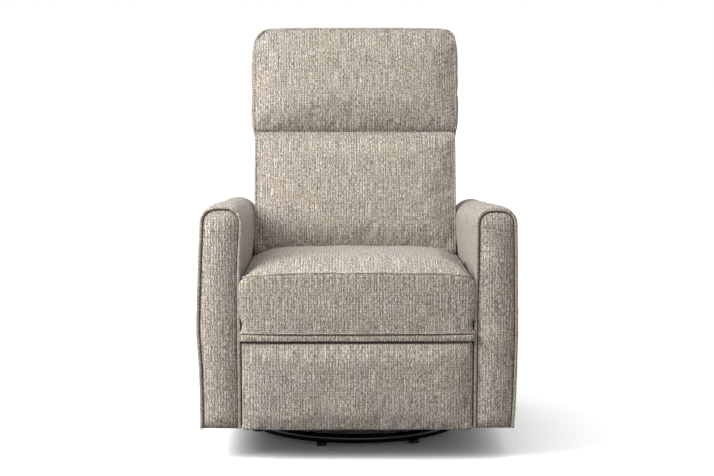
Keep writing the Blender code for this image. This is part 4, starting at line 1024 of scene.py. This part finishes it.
def buildOutsideBack():
    grid = boxGrid(cover["low"], cover["high"], cover["edge"], cover["cell"], skip=((1, -1), (2, -1)))
    for x in (-1, 1):
        roundEdge(grid, (0, x), (2, 1), cover["corner"])
        roundEdge(grid, (0, x), (1, 1), cover["rearEdge"])
    roundEdge(grid, (1, 1), (2, 1), cover["rearEdge"])
    for point, (a, _, c) in zip(grid["points"], grid["shares"]):
        widened = ease(point.z, cover["widenFrom"], cover["widenTo"])
        rear = ease(point.y, cover["high"][1] - cover["blend"], cover["high"][1])
        point.x *= 1 - (1 - cover["lowHalf"] / cover["high"][0]) * (1 - widened)
        wave = ripple(point, cover["waveSize"], cover["wave"], 8.0) * rear * bell(a, 8.0)
        point.y += cover["crown"] * bell(a, 4.0) * bell(c, 4.0) * rear + wave
    piece = gridPiece("outsideBack", grid, backFrame)
    skin = piece.modifiers.new("skin", "SOLIDIFY")
    skin.thickness = cover["thick"]
    skin.offset = -1.0
    refine(piece)
    finishPiece(piece, "back", ["back_cover"])
    loop = edgeLoop(grid, [(-1, 1, -1), (-1, 1, 1), (1, 1, 1), (1, 1, -1)])
    path = smoothPath([grid["points"][at] for at in loop], 3)
    finishPiece(sewPiping("outsideBackPiping", path, backFrame), "back")


buildOutsideBack()
print("back ready")

footLow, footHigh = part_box("footrest_pad")
foot = {
    "low": (-0.2793, -0.4370, footLow.z), "high": (0.2793, footHigh.y, footHigh.z + 0.0010),
    "topEdge": 0.009, "sideEdge": 0.010, "lowEdge": 0.006, "topCorner": 0.009, "lowCorner": 0.005,
    "crown": 0.0145, "wave": 0.0020, "waveSize": 0.09, "hemWave": 0.0012, "hemWaveSize": 0.07,
    "faceFrom": 0.001, "faceTo": 0.012, "cell": 0.0085, "edge": 0.014,
    "pressure": 2.0, "cap": 0.0040, "slack": 0.010,
}


def buildFootrest():
    grid = boxGrid(foot["low"], foot["high"], foot["edge"], foot["cell"])
    for x in (-1, 1):
        roundEdge(grid, (0, x), (2, 1), foot["topCorner"])
        roundEdge(grid, (0, x), (2, -1), foot["lowCorner"])
        roundEdge(grid, (0, x), (1, -1), foot["sideEdge"])
    roundEdge(grid, (1, -1), (2, 1), foot["topEdge"])
    roundEdge(grid, (1, -1), (2, -1), foot["lowEdge"])
    for point, (a, _, c) in zip(grid["points"], grid["shares"]):
        face = 1 - ease(point.y, foot["low"][1] + foot["faceFrom"], foot["low"][1] + foot["faceTo"])
        wave = ripple(point, foot["waveSize"], foot["wave"], 4.4) * bell(a, 10.0)
        point.y += (-foot["crown"] * bell(a, 6.0) * (0.45 + 0.55 * bell(c, 6.0)) + wave) * face
        point.z += ripple(point, foot["hemWaveSize"], foot["hemWave"], 7.7) * ease(-c, 0.8, 1.0)
    piece = gridPiece("footrestPad", grid)
    rim = edgeLoop(grid, [(-1, -1, -1), (-1, -1, 1), (1, -1, 1), (1, -1, -1)])
    held = heldPoints(grid, [(1, 1), (2, -1)], [rim], firm=[(0, -1), (0, 1)])
    plump(piece, held, foot["pressure"], foot["cap"], foot["slack"])
    refine(piece)
    finishPiece(piece, "ottoman", ["footrest_pad"])


buildFootrest()
print("footrest ready")

panel = {
    "radius": 0.007, "edge": 0.012, "cell": 0.018, "crown": 0.003, "wave": 0.0016, "waveSize": 0.12,
}


def buildRearPanel():
    low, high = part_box("rear_panel")
    grid = boxGrid(low, high, panel["edge"], panel["cell"])
    for y, z in ((1, 1), (1, -1), (-1, 1)):
        roundEdge(grid, (1, y), (2, z), panel["radius"])
    for point, (a, _, c) in zip(grid["points"], grid["shares"]):
        face = ease(point.y, high.y - 0.01, high.y)
        wave = ripple(point, panel["waveSize"], panel["wave"], 5.5)
        point.y += (panel["crown"] * bell(a, 8.0) * bell(c, 4.0) + wave) * face
    piece = gridPiece("rearPanel", grid)
    refine(piece)
    finishPiece(piece, "carriage", ["rear_panel"])


buildRearPanel()
print("rear panel ready")
